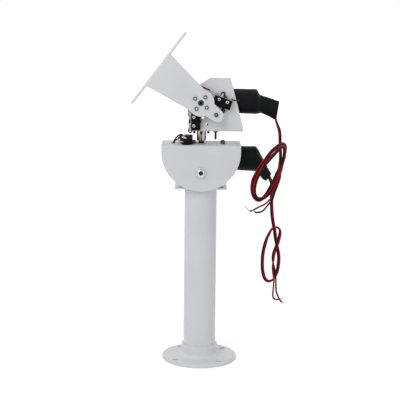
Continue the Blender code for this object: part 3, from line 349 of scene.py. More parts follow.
def screw_set(name, rings, steel, body, places):
    for number, place in enumerate(places, start=1):
        # The sockets of these screws take the dark steel as painted shade.
        turned(f"{name}_{number}", rings, 24, [steel, dark_steel_and_socket_shade], body, place)


def arc(centre, radius, start, end, count):
    angles = [radians(start + (end - start) * step / (count - 1)) for step in range(count)]
    return [(centre[0] + radius * cos(angle), centre[1] + radius * sin(angle)) for angle in angles]


def quarter_spots(radius, height=0.0, first=0.0):
    """Four places on a circle, a quarter turn apart, from the first angle in degrees."""
    angles = [radians(first) + turn for turn in turns(4)]
    return [shift((radius * cos(angle), radius * sin(angle), height)) for angle in angles]


def add_rows(bm, rows, material_index=0):
    """Joins rows of as many points into one closed body."""
    rows = [[bm.verts.new(point) for point in row] for row in rows]
    faces = [bm.faces.new(rows[0]), bm.faces.new(rows[-1])]
    for first, second in zip(rows, rows[1:]):
        corners = zip(first, first[1:] + first[:1], second[1:] + second[:1], second)
        faces += [bm.faces.new(corner) for corner in corners]
    for face in faces:
        face.material_index = material_index


def add_stack(bm, outlines):
    """Joins outlines of (points, height) into one closed body, lowest first."""
    add_rows(bm, [[(x, y, height) for x, y in points] for points, height in outlines])


def add_drill(bm, place, radius, depth, steps):
    bmesh.ops.create_cone(
        bm, cap_ends=True, segments=steps, radius1=radius, radius2=radius, depth=depth, matrix=place
    )


def add_box(bm, place, centre, size):
    shape = Matrix.Diagonal((*size, 1.0))
    bmesh.ops.create_cube(bm, size=1.0, matrix=place @ shift(centre) @ shape)


def carve(piece, bm):
    """Cuts the mesh out of the piece and frees it."""
    bmesh.ops.recalc_face_normals(bm, faces=bm.faces)
    mesh = to_mesh("cutter", bm)
    cutter = add_object("cutter", mesh)
    step = piece.modifiers.new("Carve", "BOOLEAN")
    step.object = cutter
    step.solver = "EXACT"
    depsgraph = bpy.context.evaluated_depsgraph_get()
    carved = bpy.data.meshes.new_from_object(piece.evaluated_get(depsgraph))
    piece.modifiers.remove(step)
    bpy.data.objects.remove(cutter)
    bpy.data.meshes.remove(mesh)
    piece.data = carved
    carved.set_sharp_from_angle(angle=radians(35))


def softened(node, width, material, body):
    """A copy of a solid with its sharp edges rounded as a coat or a press leaves them."""
    bm = bmesh.new()
    bm.from_mesh(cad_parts[node].data)
    bmesh.ops.remove_doubles(bm, verts=bm.verts, dist=1e-6)
    bmesh.ops.dissolve_limit(bm, angle_limit=radians(0.5), verts=bm.verts, edges=bm.edges)
    piece = to_piece(f"{node}_coated", bm, [material], body, replaces=[node])
    bevel = piece.modifiers.new("Edges", "BEVEL")
    bevel.width = width
    bevel.segments = 2
    bevel.limit_method = "ANGLE"
    bevel.angle_limit = radians(40)
    bevel.harden_normals = True


def thread_rings(radius, start, length, pitch):
    """Rings of a screw thread from start down."""
    shape = ((0.0, 0.15), (0.0, 0.4), (0.45, 0.8))
    ridges = range(int(length / pitch))
    return [(radius - cut * pitch, start - (ridge + drop) * pitch) for ridge in ridges for cut, drop in shape]


SCREW_PITCH = 0.0005


def dome_screw(node, sizes, socket, materials, body, place):
    """A screw with a domed head, in place of its solid.

    The sizes are the head's radius and height and the thread's radius and length."""
    head, height, radius, length = sizes
    floor = height * 0.35
    point = 0.0003
    rings = [
        (0.0, floor, socket), (head * 0.5, floor, socket), (head * 0.52, height * 0.97, socket),
        (head * 0.62, height), (head * 0.8, height * 0.9), (head * 0.94, height * 0.66), (head, height * 0.3),
        (head * 0.97, 0.0), (radius, 0.0), *thread_rings(radius, 0.0, length - 2 * point, SCREW_PITCH),
        (radius * 0.97, point - length), (radius * 0.8, -length), (0.0, -length),
    ]
    turned(node.replace("screw", "button"), rings, 24, materials, body, place, [node])


# Camera, at the place the photograph was taken from.
VIEWPOINT = Vector((-0.00075, -1.19207, 0.38476))
VIEW_PITCH = pi / 2 - 0.1679
VIEW_ROLL = 0.0102


def make_camera():
    lens = bpy.data.cameras.new("camera")
    lens.lens = 96.97
    lens.sensor_width = 36.0
    lens.clip_start = 0.05
    lens.clip_end = 50.0
    camera = add_object("camera", lens)
    aim = spin(VIEW_PITCH, "X") @ spin(VIEW_ROLL, "Z")
    camera.matrix_world = shift(VIEWPOINT) @ aim
    scene.camera = camera


# Cords, on the routes of their solids. The points are in tenths of a millimetre.
TENTH = 0.0001
TILT_EXIT = (Vector((0.08219, -0.0071, 0.27331)), Vector((0.29998, 0.0, -0.95394)))
PAN_EXIT = (Vector((0.07689, 0.0, 0.20821)), Vector((0.44, 0.0, -0.898)))
TILT_CORD_ROUTE = (
    (860, -105, 2619), (870, -85, 2492), (875, -70, 2423), (879, -70, 2365), (878, -85, 2300),
    (864, -135, 2240), (837, -230, 2186), (797, -360, 2122), (747, -465, 2050), (705, -530, 1992),
    (658, -580, 1947), (612, -620, 1936), (567, -650, 1975), (542, -670, 2050), (547, -675, 2143),
    (573, -665, 2210), (615, -635, 2280), (665, -585, 2342), (739, -495, 2429), (801, -410, 2476),
    (855, -330, 2500), (900, -245, 2495), (922, -175, 2450), (917, -155, 2365), (895, -195, 2287),
    (867, -290, 2209), (831, -405, 2138), (780, -505, 2062), (722, -575, 1997), (662, -630, 1960),
    (613, -670, 1964), (576, -700, 2010), (564, -718, 2074), (579, -722, 2158), (612, -700, 2230),
    (668, -655, 2315), (753, -558, 2397), (817, -476, 2452), (862, -403, 2480), (893, -328, 2472),
    (908, -265, 2417), (905, -245, 2349), (886, -280, 2287), (866, -360, 2221), (844, -455, 2158),
    (814, -530, 2094), (785, -575, 2030), (764, -590, 1968),
)
TILT_RED_ROUTE = (
    (686, -598, 1892), (608, -675, 1867), (531, -738, 1840), (498, -760, 1860), (464, -782, 1900),
)
TILT_BLACK_ROUTE = (
    (709, -595, 1870), (660, -665, 1830), (620, -715, 1823), (580, -755, 1830), (540, -790, 1863),
)
PAN_CORD_ROUTE = (
    (793, 0, 2020), (796, 0, 1950), (796, 0, 1820), (804, 10, 1685), (819, 25, 1580), (838, 30, 1487),
    (852, 30, 1395), (873, 30, 1290), (893, 30, 1175), (886, 30, 1050), (862, 30, 962), (824, 24, 908),
    (778, 14, 897), (741, 5, 926), (719, 0, 985), (707, 0, 1074), (711, -5, 1227), (744, -20, 1380),
    (779, -28, 1466), (803, -35, 1510), (821, -38, 1528), (846, -42, 1535), (871, -44, 1528),
    (889, -45, 1510), (896, -44, 1485), (895, -43, 1460), (884, -39, 1398), (865, -35, 1328),
    (833, -35, 1235), (824, -40, 1132), (835, -40, 1028), (846, -40, 959),
)
PAN_RED_ROUTE = ((834, -55, 845), (829, -55, 763), (838, -55, 716), (877, -60, 702), (939, -70, 716))
PAN_BLACK_ROUTE = ((864, -30, 842), (870, -25, 784), (896, -20, 717), (925, -20, 671), (960, -20, 648))
CORD_STEP = 0.0012
WIRE_STEP = 0.0008


def in_metres(points):
    return [Vector(point) * TENTH for point in points]


def smooth_route(points, step):
    padded = [2 * points[0] - points[1], *points, 2 * points[-1] - points[-2]]
    fine = []
    for index in range(1, len(padded) - 2):
        before, start, end, after = padded[index - 1 : index + 3]
        count = max(2, round((end - start).length / step))
        for part in range(count):
            t = part / count
            bend = (2 * before - 5 * start + 4 * end - after) * t**2
            turn = (3 * start - before - 3 * end + after) * t**3
            fine.append(0.5 * (2 * start + (end - before) * t + bend + turn))
    fine.append(points[-1])
    return fine


def route_length(route):
    return sum((b - a).length for a, b in zip(route, route[1:]))


def headings(route):
    neighbours = zip([route[0], *route], [*route[1:], route[-1]])
    return [(after - before).normalized() for before, after in neighbours]


def carried_sides(route, last_side):
    """A side direction at each point, which follows the bends and comes to last_side at the end."""
    ways = headings(route)
    side = ways[0].orthogonal().normalized()
    sides = [side]
    for before, after in zip(ways, ways[1:]):
        side = before.rotation_difference(after) @ side
        side = (side - after * side.dot(after)).normalized()
        sides.append(side)
    target = (last_side - ways[-1] * last_side.dot(ways[-1])).normalized()
    error = atan2(sides[-1].cross(target).dot(ways[-1]), sides[-1].dot(target))
    count = len(route) - 1
    return [
        Quaternion(way, error * index / count) @ side for index, (way, side) in enumerate(zip(ways, sides))
    ]


def flat_sides(route, twists):
    """Side directions that show the cord's flat side to the front, turned by the half turns given."""
    ways = headings(route)
    flat = [way.cross(VIEWPOINT - point).normalized() for way, point in zip(ways, route)]
    sides = []
    for index, way in enumerate(ways):
        side = sum(flat[max(0, index - 5) : index + 6], Vector())
        side = (side - way * side.dot(way)).normalized()
        share = index / (len(route) - 1)
        turn = twists[0][1]
        for (start, before), (end, after) in zip(twists, twists[1:]):
            if share >= start:
                part = min(1.0, (share - start) / (end - start))
                turn = before + (after - before) * part * part * (3 - 2 * part)
        sides.append(Quaternion(way, pi * turn) @ side)
    return sides


def add_tube(bm, route, sides, radius, offset, material_index, corners=10):
    rows = []
    for point, way, side in zip(route, headings(route), sides):
        up = way.cross(side)
        centre = point + side * offset
        rows.append([centre + side * radius * cos(turn) + up * radius * sin(turn) for turn in turns(corners)])
    add_rows(bm, rows, material_index)


def make_wire(name, route, radius, material, body):
    curve = bpy.data.curves.new(name, "CURVE")
    curve.dimensions = "3D"
    curve.bevel_depth = radius
    curve.bevel_resolution = 3
    curve.use_fill_caps = True
    spline = curve.splines.new("POLY")
    spline.points.add(len(route) - 1)
    for point, place in zip(spline.points, route):
        point.co = (*place, 1.0)
    spline.use_smooth = True
    curve.materials.append(material)
    wire = add_object(name, curve)
    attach(wire, body)
    return wire


def split_route(route, tip):
    """The covered and the stripped stretch of a lead."""
    left = route_length(route) - tip
    for index in range(1, len(route)):
        left -= (route[index] - route[index - 1]).length
        if left <= 0:
            return route[: index + 1], route[index:]
    return route, route[-2:]


def make_lead(name, route, tip, material, body, node):
    """A covered wire whose twisted strands are bare at the end."""
    covered, stripped = split_route(route, tip)
    upright = Vector((0, 1, 0))
    bm = bmesh.new()
    add_tube(bm, covered, carried_sides(covered, upright), STRAND_RADIUS, 0.0, 0)
    sides = carried_sides(stripped, upright)
    ways = headings(stripped)
    hairs = 5
    twist_per_step = 0.9
    for hair in range(hairs):
        spun = []
        for index, (way, side) in enumerate(zip(ways, sides)):
            spun.append(Quaternion(way, 2 * pi * hair / hairs + index * twist_per_step) @ side)
        add_tube(bm, stripped, spun, 0.0002, 0.0003, 1, 6)
    return to_piece(name, bm, [material, copper_strands], body, replaces=[node])


def make_cord(prefix, leaving, route, strand, leads, twists, body):
    """A flat twin cord from inside the sleeve's tail to its two leads."""
    tucked = 0.0035
    lead_tucked = 0.0008
    exit_point, outward = leaving
    bends = [exit_point + outward * CORD_WIDTH, *in_metres(route)]
    path = [exit_point - outward * tucked, exit_point, *smooth_route(bends, CORD_STEP)]
    end = path[-1]
    heading = (path[-1] - path[-2]).normalized()
    sides = flat_sides(path, twists)
    aside = sides[-1]
    bm = bmesh.new()
    add_tube(bm, path, sides, strand, -strand, 0)
    add_tube(bm, path, sides, strand, strand, 1)
    name = f"{prefix}_twin_cord"
    cord = to_piece(name, bm, [red_vinyl, black_vinyl], body, replaces=[f"{prefix}_cord"])
    for (colour, lead_route, material, tip), side in zip(leads, (-1, 1)):
        start = end - heading * lead_tucked + aside * STRAND_RADIUS * side
        spread = end + heading * (GAP + 2 * STRAND_RADIUS) + aside * LEAD_SPREAD * side
        lead_path = [start, *smooth_route([spread, *in_metres(lead_route)], CORD_STEP)]
        node = f"{prefix}_lead_{colour}"
        lead = make_lead(f"{prefix}_{colour}_end", lead_path, tip, material, body, node)


# Half turns of the cords' flat side, at shares of their length.
TILT_TWISTS = (
    (0.0, 0.62), (0.02, 0.85), (0.07, 0.85), (0.17, 2), (0.47, 2), (0.54, 3), (0.63, 3), (0.7, 4), (0.87, 4),
    (0.97, 5), (1.0, 5),
)
PAN_TWISTS = (
    (0.0, 0.2), (0.41, 0.2), (0.52, 0.8), (0.66, 0.8), (0.71, 0.66), (0.76, 0.5), (0.82, 0.2), (0.9, 0.2),
    (0.98, 1), (1.0, 1),
)


def make_cords():
    leads = (("red", TILT_RED_ROUTE, red_vinyl, 0.009), ("black", TILT_BLACK_ROUTE, black_vinyl, 0.0062))
    make_cord("tilt", TILT_EXIT, TILT_CORD_ROUTE, STRAND_RADIUS, leads, TILT_TWISTS, "pan_head")
    leads = (("red", PAN_RED_ROUTE, red_vinyl, 0.004), ("black", PAN_BLACK_ROUTE, black_vinyl, 0.004))
    make_cord("pan", PAN_EXIT, PAN_CORD_ROUTE, PAN_STRAND_RADIUS, leads, PAN_TWISTS, "base")


# Base, pole and sheet metal.
def make_flange():
    cove_radius = 0.0055
    cove = arc((COLLAR_RADIUS + cove_radius, FLANGE_THICKNESS + cove_radius), cove_radius, 180, 270, 12)
    rim_radius = 0.0009
    rim = arc((FLANGE_RADIUS - rim_radius, FLANGE_THICKNESS - rim_radius), rim_radius, 90, 0, 5)
    lip_radius = 0.0007
    lip = arc((COLLAR_RADIUS - lip_radius, COLLAR_TOP - lip_radius), lip_radius, 90, 0, 5)
    foot = 0.0004
    socket = POLE_RADIUS + GAP
    paint_seam = POLE_RADIUS + 0.00004
    profile = [
        (0.0, FLANGE_THICKNESS), (socket, FLANGE_THICKNESS), (socket, COLLAR_TOP - 0.0014),
        (paint_seam, COLLAR_TOP - 0.0011), (paint_seam, COLLAR_TOP - 0.0001),
        (paint_seam + 0.0001, COLLAR_TOP), *lip, *cove, *rim, (FLANGE_RADIUS, foot),
        (FLANGE_RADIUS - foot, 0.0), (0.0, 0.0),
    ]
    node = "base_flange"
    flange = turned("flange_coated", profile, 96, [white_coat], "base", replaces=[node])
    edge = 0.0005
    past = 0.001
    hole = [
        (0.0, FLANGE_THICKNESS + past), (FLANGE_HOLE_RADIUS + edge + past, FLANGE_THICKNESS + past),
        (FLANGE_HOLE_RADIUS, FLANGE_THICKNESS - edge), (FLANGE_HOLE_RADIUS, -past), (0.0, -past),
    ]
    holes = bmesh.new()
    for spot in quarter_spots(FLANGE_HOLE_CIRCLE, first=FLANGE_HOLE_ANGLE):
        add_rings(holes, hole, 32, spot)
    carve(flange, holes)


def make_pole():
    edge = 0.0004
    band = 0.019
    bore = POLE_RADIUS - 0.0015
    profile = [
        (POLE_RADIUS - edge, POLE_TOP), *[(POLE_RADIUS, POLE_TOP - edge - step * band) for step in range(10)],
        (POLE_RADIUS, POLE_BOTTOM), (bore, POLE_BOTTOM), (bore, POLE_TOP),
    ]
    node = "pole_tube"
    turned("pole_coated", profile, 96, [white_coat], "base", replaces=[node], closed=True)


def make_sheet_metal():
    # The saddle takes the glossier coat, whose lighter colour is painted light.
    for node, finish, body in (
        ("pole_saddle", gloss_and_painted_light_coat, "base"),
        ("pan_housing", white_coat, "base"),
        ("tilt_bracket", white_coat, "pan_head"),
        ("camera_arm", white_coat, "tilt_arm"),
    ):
        softened(node, 0.00035, finish, body)
    rivet = [
        (0.0, 0.0005), (0.0019, 0.0005), (0.0024, 0.0003), (0.0026, 0.0), (0.0013, 0.0), (0.0013, -0.0015),
        (0.0, -0.0015),
    ]
    place = shift((0.0295, BRACKET_FRONT - 0.0001, TILT_Z - 0.0146)) @ facing_front
    turned("bracket_rivet", rivet, 24, [white_coat], "pan_head", place)


# Gear motors.
COVER_SCREWS = ((-0.0122, -0.0135), (-0.0122, 0.0135), (0.0292, -0.0135), (0.0292, 0.0135))
COVER_BACK = -0.025


def make_gearboxes():
    screw = [
        (0.0, 0.0006, "cross"), (0.0011, 0.0006, "cross"), (0.0012, 0.0012, "cross"), (0.0016, 0.00125),
        (0.0021, 0.0009), (0.0022, 0.0), (0.0, 0.0),
    ]
    inner_finishes = {
        "motor": plated_steel, "output_shaft": dark_steel_and_socket_shade, "worm": plated_steel, "idler_gear": turned_brass
    }
    backward = spin(pi, "X")
    for prefix, drive, body in (("pan", pan_drive, "base"), ("tilt", tilt_drive, "pan_head")):
        softened(f"{prefix}_gearbox_case", 0.0009, zinc_cast, body)
        softened(f"{prefix}_gearbox_cover", 0.0005, zinc_cast, body)
        places = [drive @ shift((*spot, COVER_BACK)) @ backward for spot in COVER_SCREWS]
        screw_set(f"{prefix}_cover_screw", screw, plated_steel, body, places)
        for part, finish in inner_finishes.items():
            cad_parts[f"{prefix}_{part}"].data.materials[0] = finish


# Sections of the sleeves' tails past SLEEVE_END: top and bottom as (x, z), and half the width.
TILT_TAIL = (
    ((0.0035, 0.0077), (0.0048, -0.0125), 0.0095),
    ((0.0143, 0.0043), (0.0128, -0.0161), 0.006),
    ((0.025, 0.0008), (0.0218, -0.0207), 0.0028),
)
PAN_TAIL = (
    ((0.003, 0.0094), (0.0008, -0.0141), 0.0125),
    ((0.0085, -0.0004), (0.004, -0.0189), 0.0095),
    ((0.014, -0.0109), (0.008, -0.0236), 0.006),
    ((0.0177, -0.0172), (0.0117, -0.0252), 0.0032),
)
SLEEVE_CORNERS = 72
SLEEVE_TURNS = turns(SLEEVE_CORNERS)


def sleeve_ring(top, bottom, half):
    points = []
    for turn in SLEEVE_TURNS:
        x, z = bottom.lerp(top, (1 + cos(turn)) / 2)
        points.append(Vector((x, half * sin(turn), z)))
    return points


def sleeve_rows(tail, belly):
    """Smooth rings of the film over the can and its flattened tail."""
    slack = 0.0007
    tight = SLEEVE_RADIUS - slack
    lift = 0.0004
    crown = SLEEVE_RADIUS + lift
    start = MOTOR_START + 0.0002
    sections = [((start, crown), (start, -tight), tight)]
    for along in (0.25, 0.5, 0.75, 0.93):
        x = MOTOR_START + (SLEEVE_END - MOTOR_START) * along
        sections.append(((x, crown), (x, -tight - (slack + belly) * along), tight + slack * along))
    shoulder = SLEEVE_RADIUS - 0.0002
    sections.append(((SLEEVE_END, crown - lift), (SLEEVE_END, -SLEEVE_RADIUS - belly), shoulder))
    for top, bottom, half in tail:
        sections.append(((SLEEVE_END + top[0], top[1]), (SLEEVE_END + bottom[0], bottom[1]), half))
    rows = []
    sections = [(Vector(top), Vector(bottom), half) for top, bottom, half in sections]
    for (top, bottom, half), (next_top, next_bottom, next_half) in zip(sections, sections[1:]):
        steps = 8 if top.x >= SLEEVE_END - 0.003 else 3
        for share in [step / steps for step in range(steps)]:
            width = half + (next_half - half) * share
            rows.append(sleeve_ring(top.lerp(next_top, share), bottom.lerp(next_bottom, share), width))
    rows.append(sleeve_ring(*sections[-1]))
    return rows


def make_sleeve(prefix, tail, centre, belly, body):
    """Heat-shrink film: smooth over the can, pleated at the shoulder and creased where it is flattened."""
    rings = []
    for row in sleeve_rows(tail, belly):
        middle = sum(row, Vector()) / SLEEVE_CORNERS
        ring = []
        for turn, point in zip(SLEEVE_TURNS, row):
            past = max(0.0, point.x - SLEEVE_END)
            crease = min(1.0, past / 0.006)
            ripple = noise.noise(point * 260.0 + centre) * 0.0003 * crease
            ripple += noise.noise(point * 95.0 + centre) * 0.0002
            pleat = cos(9 * turn + 1.3) * 0.00022 * crease * max(0.0, 1.0 - past / 0.02)
            outward = (point - middle).normalized()
            ring.append(point + outward * (ripple + pleat - 0.0002))
        rings.append(ring)
    mouth = rings[-1]
    middle = sum(mouth, Vector()) / SLEEVE_CORNERS
    back = (sum(rings[-4], Vector()) / SLEEVE_CORNERS - middle).normalized()
    for share, depth in ((0.86, 0.0), (0.8, 0.0024), (0.3, 0.0026)):
        rings.append([middle.lerp(point, share) + back * depth for point in mouth])
    round_bore = [(SLEEVE_BORE * sin(turn), SLEEVE_BORE * cos(turn)) for turn in SLEEVE_TURNS]
    lining = [[(x + 0.0002, *point) for point in round_bore] for x in (MOTOR_END, MOTOR_START)]
    bm = bmesh.new()
    add_rows(bm, [*lining, *rings])
    name = f"{prefix}_shrink_sleeve"
    node = f"{prefix}_motor_sleeve"
    to_piece(name, bm, [shrink_film], body, shift(centre), [node], sharp=50.0)


# Hubs, screws and bolts.
def make_hub(prefix, place, length, body):
    """A turned hub with a slit and set screws, whose barrel carries a painted dark reflection at its sides.
    """
    flange = 0.011
    barrel = 0.005
    bore = 0.0033
    edge = 0.0003
    fillet = 0.0004
    under = -HUB_FLANGE_THICKNESS
    profile = [
        (bore, -edge), (bore + edge, 0.0), (flange - edge, 0.0), (flange, -edge), (flange, under + edge),
        (flange - edge, under), (barrel + fillet, under), (barrel, under - fillet), (barrel, edge - length),
        (barrel - edge, -length), (bore + edge, -length), (bore, edge - length),
    ]
    finishes = [turned_brass, painted_dark_reflection]
    node = f"{prefix}_hub"
    hub = turned(f"{prefix}_hub_turned", profile, 48, finishes, body, place, [node], closed=True)
    holes = bmesh.new()
    for spot in quarter_spots(HUB_SCREW_RADIUS):
        add_drill(holes, place @ spot, 0.0018, 0.008, 20)
    slit = (0.0015, 0.005, length - 0.001)
    add_box(holes, place, (0, -barrel, -length / 2 - 0.0025), slit)
    carve(hub, holes)
    # The barrel's side faces take the dark finish: a painted dark reflection, fixed to the hub.
    to_hub = place.inverted()
    for face in hub.data.polygons:
        centre = to_hub @ face.center
        if abs(centre.x) > 0.0034 and centre.z < -0.0022:
            face.material_index = 1
    screw = [
        (0.0, -0.0006, "hex"), (0.0008, -0.0006, "hex"), (0.0008, 0.0003, "hex"), (0.0013, 0.0004),
        (0.0015, 0.0002), (0.0015, -0.0012), (0.0, -0.0012),
    ]
    outward = shift((barrel, 0, 0.0029 - length)) @ spin(pi / 2, "Y")
    places = [place @ spin(turn, "Z") @ outward for turn in (-0.1, 2.0)]
    screw_set(f"{prefix}_hub_set_screw", screw, grey_steel, body, places)


def make_shaft_tip():
    """Blackened end of the tilt shaft, with its centre hole painted black as shade."""
    rings = [
        (0.0, -0.0008, "bore"), (0.0013, -0.0007, "bore"), (0.0017, 0.0001, "bore"), (0.0023, 0.0002),
        (0.0029, -0.0002), (0.0029, -0.0012), (0.0, -0.0015),
    ]
    place = arm_frame @ shift((0, 0, ARM_SHEET - 0.0002))
    # The centre hole's faces take the black switch plastic as painted shade.
    turned("tilt_shaft_tip", rings, 32, [olive_steel, switch_plastic], "tilt_arm", place)


def make_hub_screws(prefix, place, sheet, head_height, materials, body):
    past_hub = 0.0047
    sizes = (0.0021, 0.0016, 0.0015, sheet + 2 * GAP + HUB_FLANGE_THICKNESS + past_hub)
    for number, spot in enumerate(quarter_spots(HUB_SCREW_RADIUS, head_height), start=1):
        dome_screw(f"{prefix}_hub_screw_{number}", sizes, "hex", materials, body, place @ spot)


def make_gearbox_screws():
    in_case = 0.0016
    sizes = (0.0026, 0.002, 0.0015, SHEET + 2 * GAP + in_case)
    sets = (("pan", pan_drive, olive_steel, "base"), ("tilt", tilt_drive, dark_steel_and_socket_shade, "pan_head"))
    for prefix, drive, steel, body in sets:
        for number, spot in enumerate(GEARBOX_SCREWS, start=1):
            seat = drive @ shift((*spot, SHEET + 2 * GAP))
            # The cross recesses take the dark steel as painted shade.
            dome_screw(f"{prefix}_gearbox_screw_{number}", sizes, "cross", [steel, dark_steel_and_socket_shade], body, seat)


def make_stop_screws():
    nut = [
        (0.00125, 0.0), (0.0021, 0.0), (0.0025, -0.0003, "hex"), (0.0025, -0.0033, "hex"), (0.0021, -0.0036),
        (0.00125, -0.0036),
    ]
    finishes = [dark_steel_and_socket_shade, dark_steel_and_socket_shade]
    seat = shift((PAN_STOP_RADIUS, 0, BRACKET_FLOOR - SHEET))
    turned("pan_stop_nut", nut, 24, finishes, "pan_head", seat, closed=True)
    seat = shift((PAN_STOP_RADIUS, 0, BRACKET_FLOOR + GAP))
    sizes = (0.00225, 0.0016, 0.00125, 0.0135)
    dome_screw("pan_stop_screw", sizes, "hex", finishes, "pan_head", seat)
    seat = arm_frame @ shift((-TILT_STOP_RADIUS, 0, ARM_SHEET + GAP))
    sizes = (0.00225, 0.0016, 0.00125, 0.0118)
    finishes = [dark_steel_and_socket_shade, grey_steel]
    dome_screw("tilt_stop_screw", sizes, "hex", finishes, "tilt_arm", seat)


def make_bolts():
    shank = 0.0025
    thread_start = -0.04
    tip = -0.0536
    bolt = [
        (0.0, 0.0016, "hex"), (0.0028, 0.0016, "hex"), (0.0028, 0.0035, "hex"), (0.0033, 0.0038),
        (0.0038, 0.0036), (0.0042, 0.0031), (0.0044, 0.0022), (0.0044, 0.001), (0.0054, 0.001),
        (0.0056, 0.0008), (0.0056, 0.0001), (shank, 0.0), (shank, thread_start),
        *thread_rings(shank, thread_start, 0.0128, 0.0008), (0.002, tip), (0.0, tip),
    ]
    place = shift((0, HOUSING_FRONT - GAP, HOUSING_BOLT_Z)) @ facing_front
    # The bolt's hex socket takes the dark steel as painted shade.
    finishes = [plated_steel, dark_steel_and_socket_shade]
    turned("housing_socket_bolt", bolt, 36, finishes, "base", place, ["housing_bolt"])
    corner = 0.008 / sqrt(3)
    bore = 0.0028
    nut = [
        (bore, 0.004), (corner * 0.86, 0.004), (corner, 0.0036, "hex"), (corner, 0.0004, "hex"),
        (corner * 0.86, 0.0), (bore, 0.0),
    ]
    place = shift((0, -HOUSING_FRONT + GAP, HOUSING_BOLT_Z)) @ facing_front.inverted()
    finishes = [plated_steel, plated_steel]
    turned("housing_hex_nut", nut, 36, finishes, "base", place, ["housing_nut"], closed=True)
    bolt = [
        (0.0, 0.004), (0.0044, 0.0042), (0.0052, 0.0036, "hex"), (0.0052, 0.0003, "hex"), (0.0047, 0.0),
        (0.003, 0.0), (0.003, -0.0193), (0.0024, -0.02), (0.0, -0.02),
    ]
    place = shift((0, 0, SADDLE_TOP + GAP))
    turned("saddle_hex_bolt", bolt, 36, finishes, "base", place, ["saddle_bolt"])
    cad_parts["pole_plug"].data.materials[0] = switch_plastic


# Limit switches, drawn with the long side along X, the plunger to -Y and the terminals to +Y.
SWITCH_HALF = (0.0099, 0.0051)
SWITCH_THICKNESS = 0.0064
SWITCH_MIDDLE = SWITCH_THICKNESS / 2
SWITCH_SCREWS = ((-0.00475, 0.0022), (0.00475, 0.0022))
PLUNGER_HALF = (0.0015, 0.0013)
TERMINALS = ((-0.0083, 0.0028), (-0.0028, 0.0043), (0.0078, 0.0028))
DIODE_BODIES = {"tilt_upper": (-0.0011, 0.0036), "tilt_lower": (-0.0022, 0.0024)}
DIODE_LINE = SWITCH_HALF[1] + 0.0019


def nicked_block(half, levels):
    """A block with cut corners, from half its sides and levels of (inset, height)."""
    nick = 0.0004
    outlines = []
    for inset, height in levels:
        x = half[0] - inset
        y = half[1] - inset
        corners = [
            (nick - x, -y), (x - nick, -y), (x, nick - y), (x, y - nick), (x - nick, y), (nick - x, y),
            (-x, y - nick), (-x, nick - y),
        ]
        outlines.append((corners, height))
    bm = bmesh.new()
    add_stack(bm, outlines)
    return bm


def make_switch(name, place, offset, body):
    edge = 0.0003
    groove = 0.00018
    levels = (
        (edge, 0.0), (0.0, edge), (0.0, SWITCH_MIDDLE - 0.00015), (groove, SWITCH_MIDDLE - 0.00006),
        (groove, SWITCH_MIDDLE + 0.00006), (0.0, SWITCH_MIDDLE + 0.00015), (0.0, SWITCH_THICKNESS - edge),
        (edge, SWITCH_THICKNESS),
    )
    bm = nicked_block(SWITCH_HALF, levels)
    node = f"{name}_switch"
    case = to_piece(f"{node}_case", bm, [switch_plastic], body, place, [node], sharp=25.0)
    window = bmesh.new()
    spot = (offset, -SWITCH_HALF[1], SWITCH_MIDDLE)
    add_box(window, place, spot, (0.0036, 0.006, 0.0032))
    carve(case, window)
    screw = [
        (0.0, 0.0005, "hex"), (0.0009, 0.0005, "hex"), (0.00095, 0.0012, "hex"), (0.0012, 0.00125),
        (0.0016, 0.001), (0.0018, 0.0005), (0.0018, 0.0), (0.0, 0.0),
    ]
    places = [place @ shift((*at, SWITCH_THICKNESS)) for at in SWITCH_SCREWS]
    screw_set(f"{node}_screw", screw, plated_steel, body, places)
    make_terminals(name, place, body)
    levels = ((0.0, -0.002), (0.0, 0.0004), (0.0002, 0.0007), (0.0006, 0.00088))
    bm = nicked_block(PLUNGER_HALF, levels)
    node = f"{name}_plunger"
    seat = place @ shift(spot) @ facing_front
    to_piece(f"{name}_button", bm, [plunger_plastic], node, seat, [node], sharp=25.0)


def make_terminals(name, place, body):
    root = SWITCH_HALF[1] - 0.0006
    half = 0.0011
    half_tip = 0.0006
    half_sheet = 0.00025
    bm = bmesh.new()
    holes = bmesh.new()
    for x, reach in TERMINALS:
        tip = SWITCH_HALF[1] + reach
        shoulder = tip - 0.0006
        blade = [
            (x - half, root), (x + half, root), (x + half, shoulder), (x + half_tip, tip),
            (x - half_tip, tip), (x - half, shoulder),
        ]
        add_stack(bm, [(blade, SWITCH_MIDDLE - half_sheet), (blade, SWITCH_MIDDLE + half_sheet)])
        spot = shift((x, tip - 0.0013, SWITCH_MIDDLE))
        add_drill(holes, place @ spot, 0.0005, 0.002, 16)
    carve(to_piece(f"{name}_terminals", bm, [solder_tin], body, place), holes)
    bm = bmesh.new()
    flattened = Matrix.Diagonal((1.1, 1.25, 0.8, 1.0))
    for x, reach in (TERMINALS[0], TERMINALS[2]):
        spot = shift((x, SWITCH_HALF[1] + reach - 0.0008, SWITCH_MIDDLE + 0.0004))
        bmesh.ops.create_icosphere(bm, subdivisions=3, radius=0.0009, matrix=spot @ flattened)
    for vert in bm.verts:
        vert.co += vert.co.normalized() * noise.noise(vert.co * 900.0) * 0.00012
    to_piece(f"{name}_solder", bm, [solder_tin], body, place)


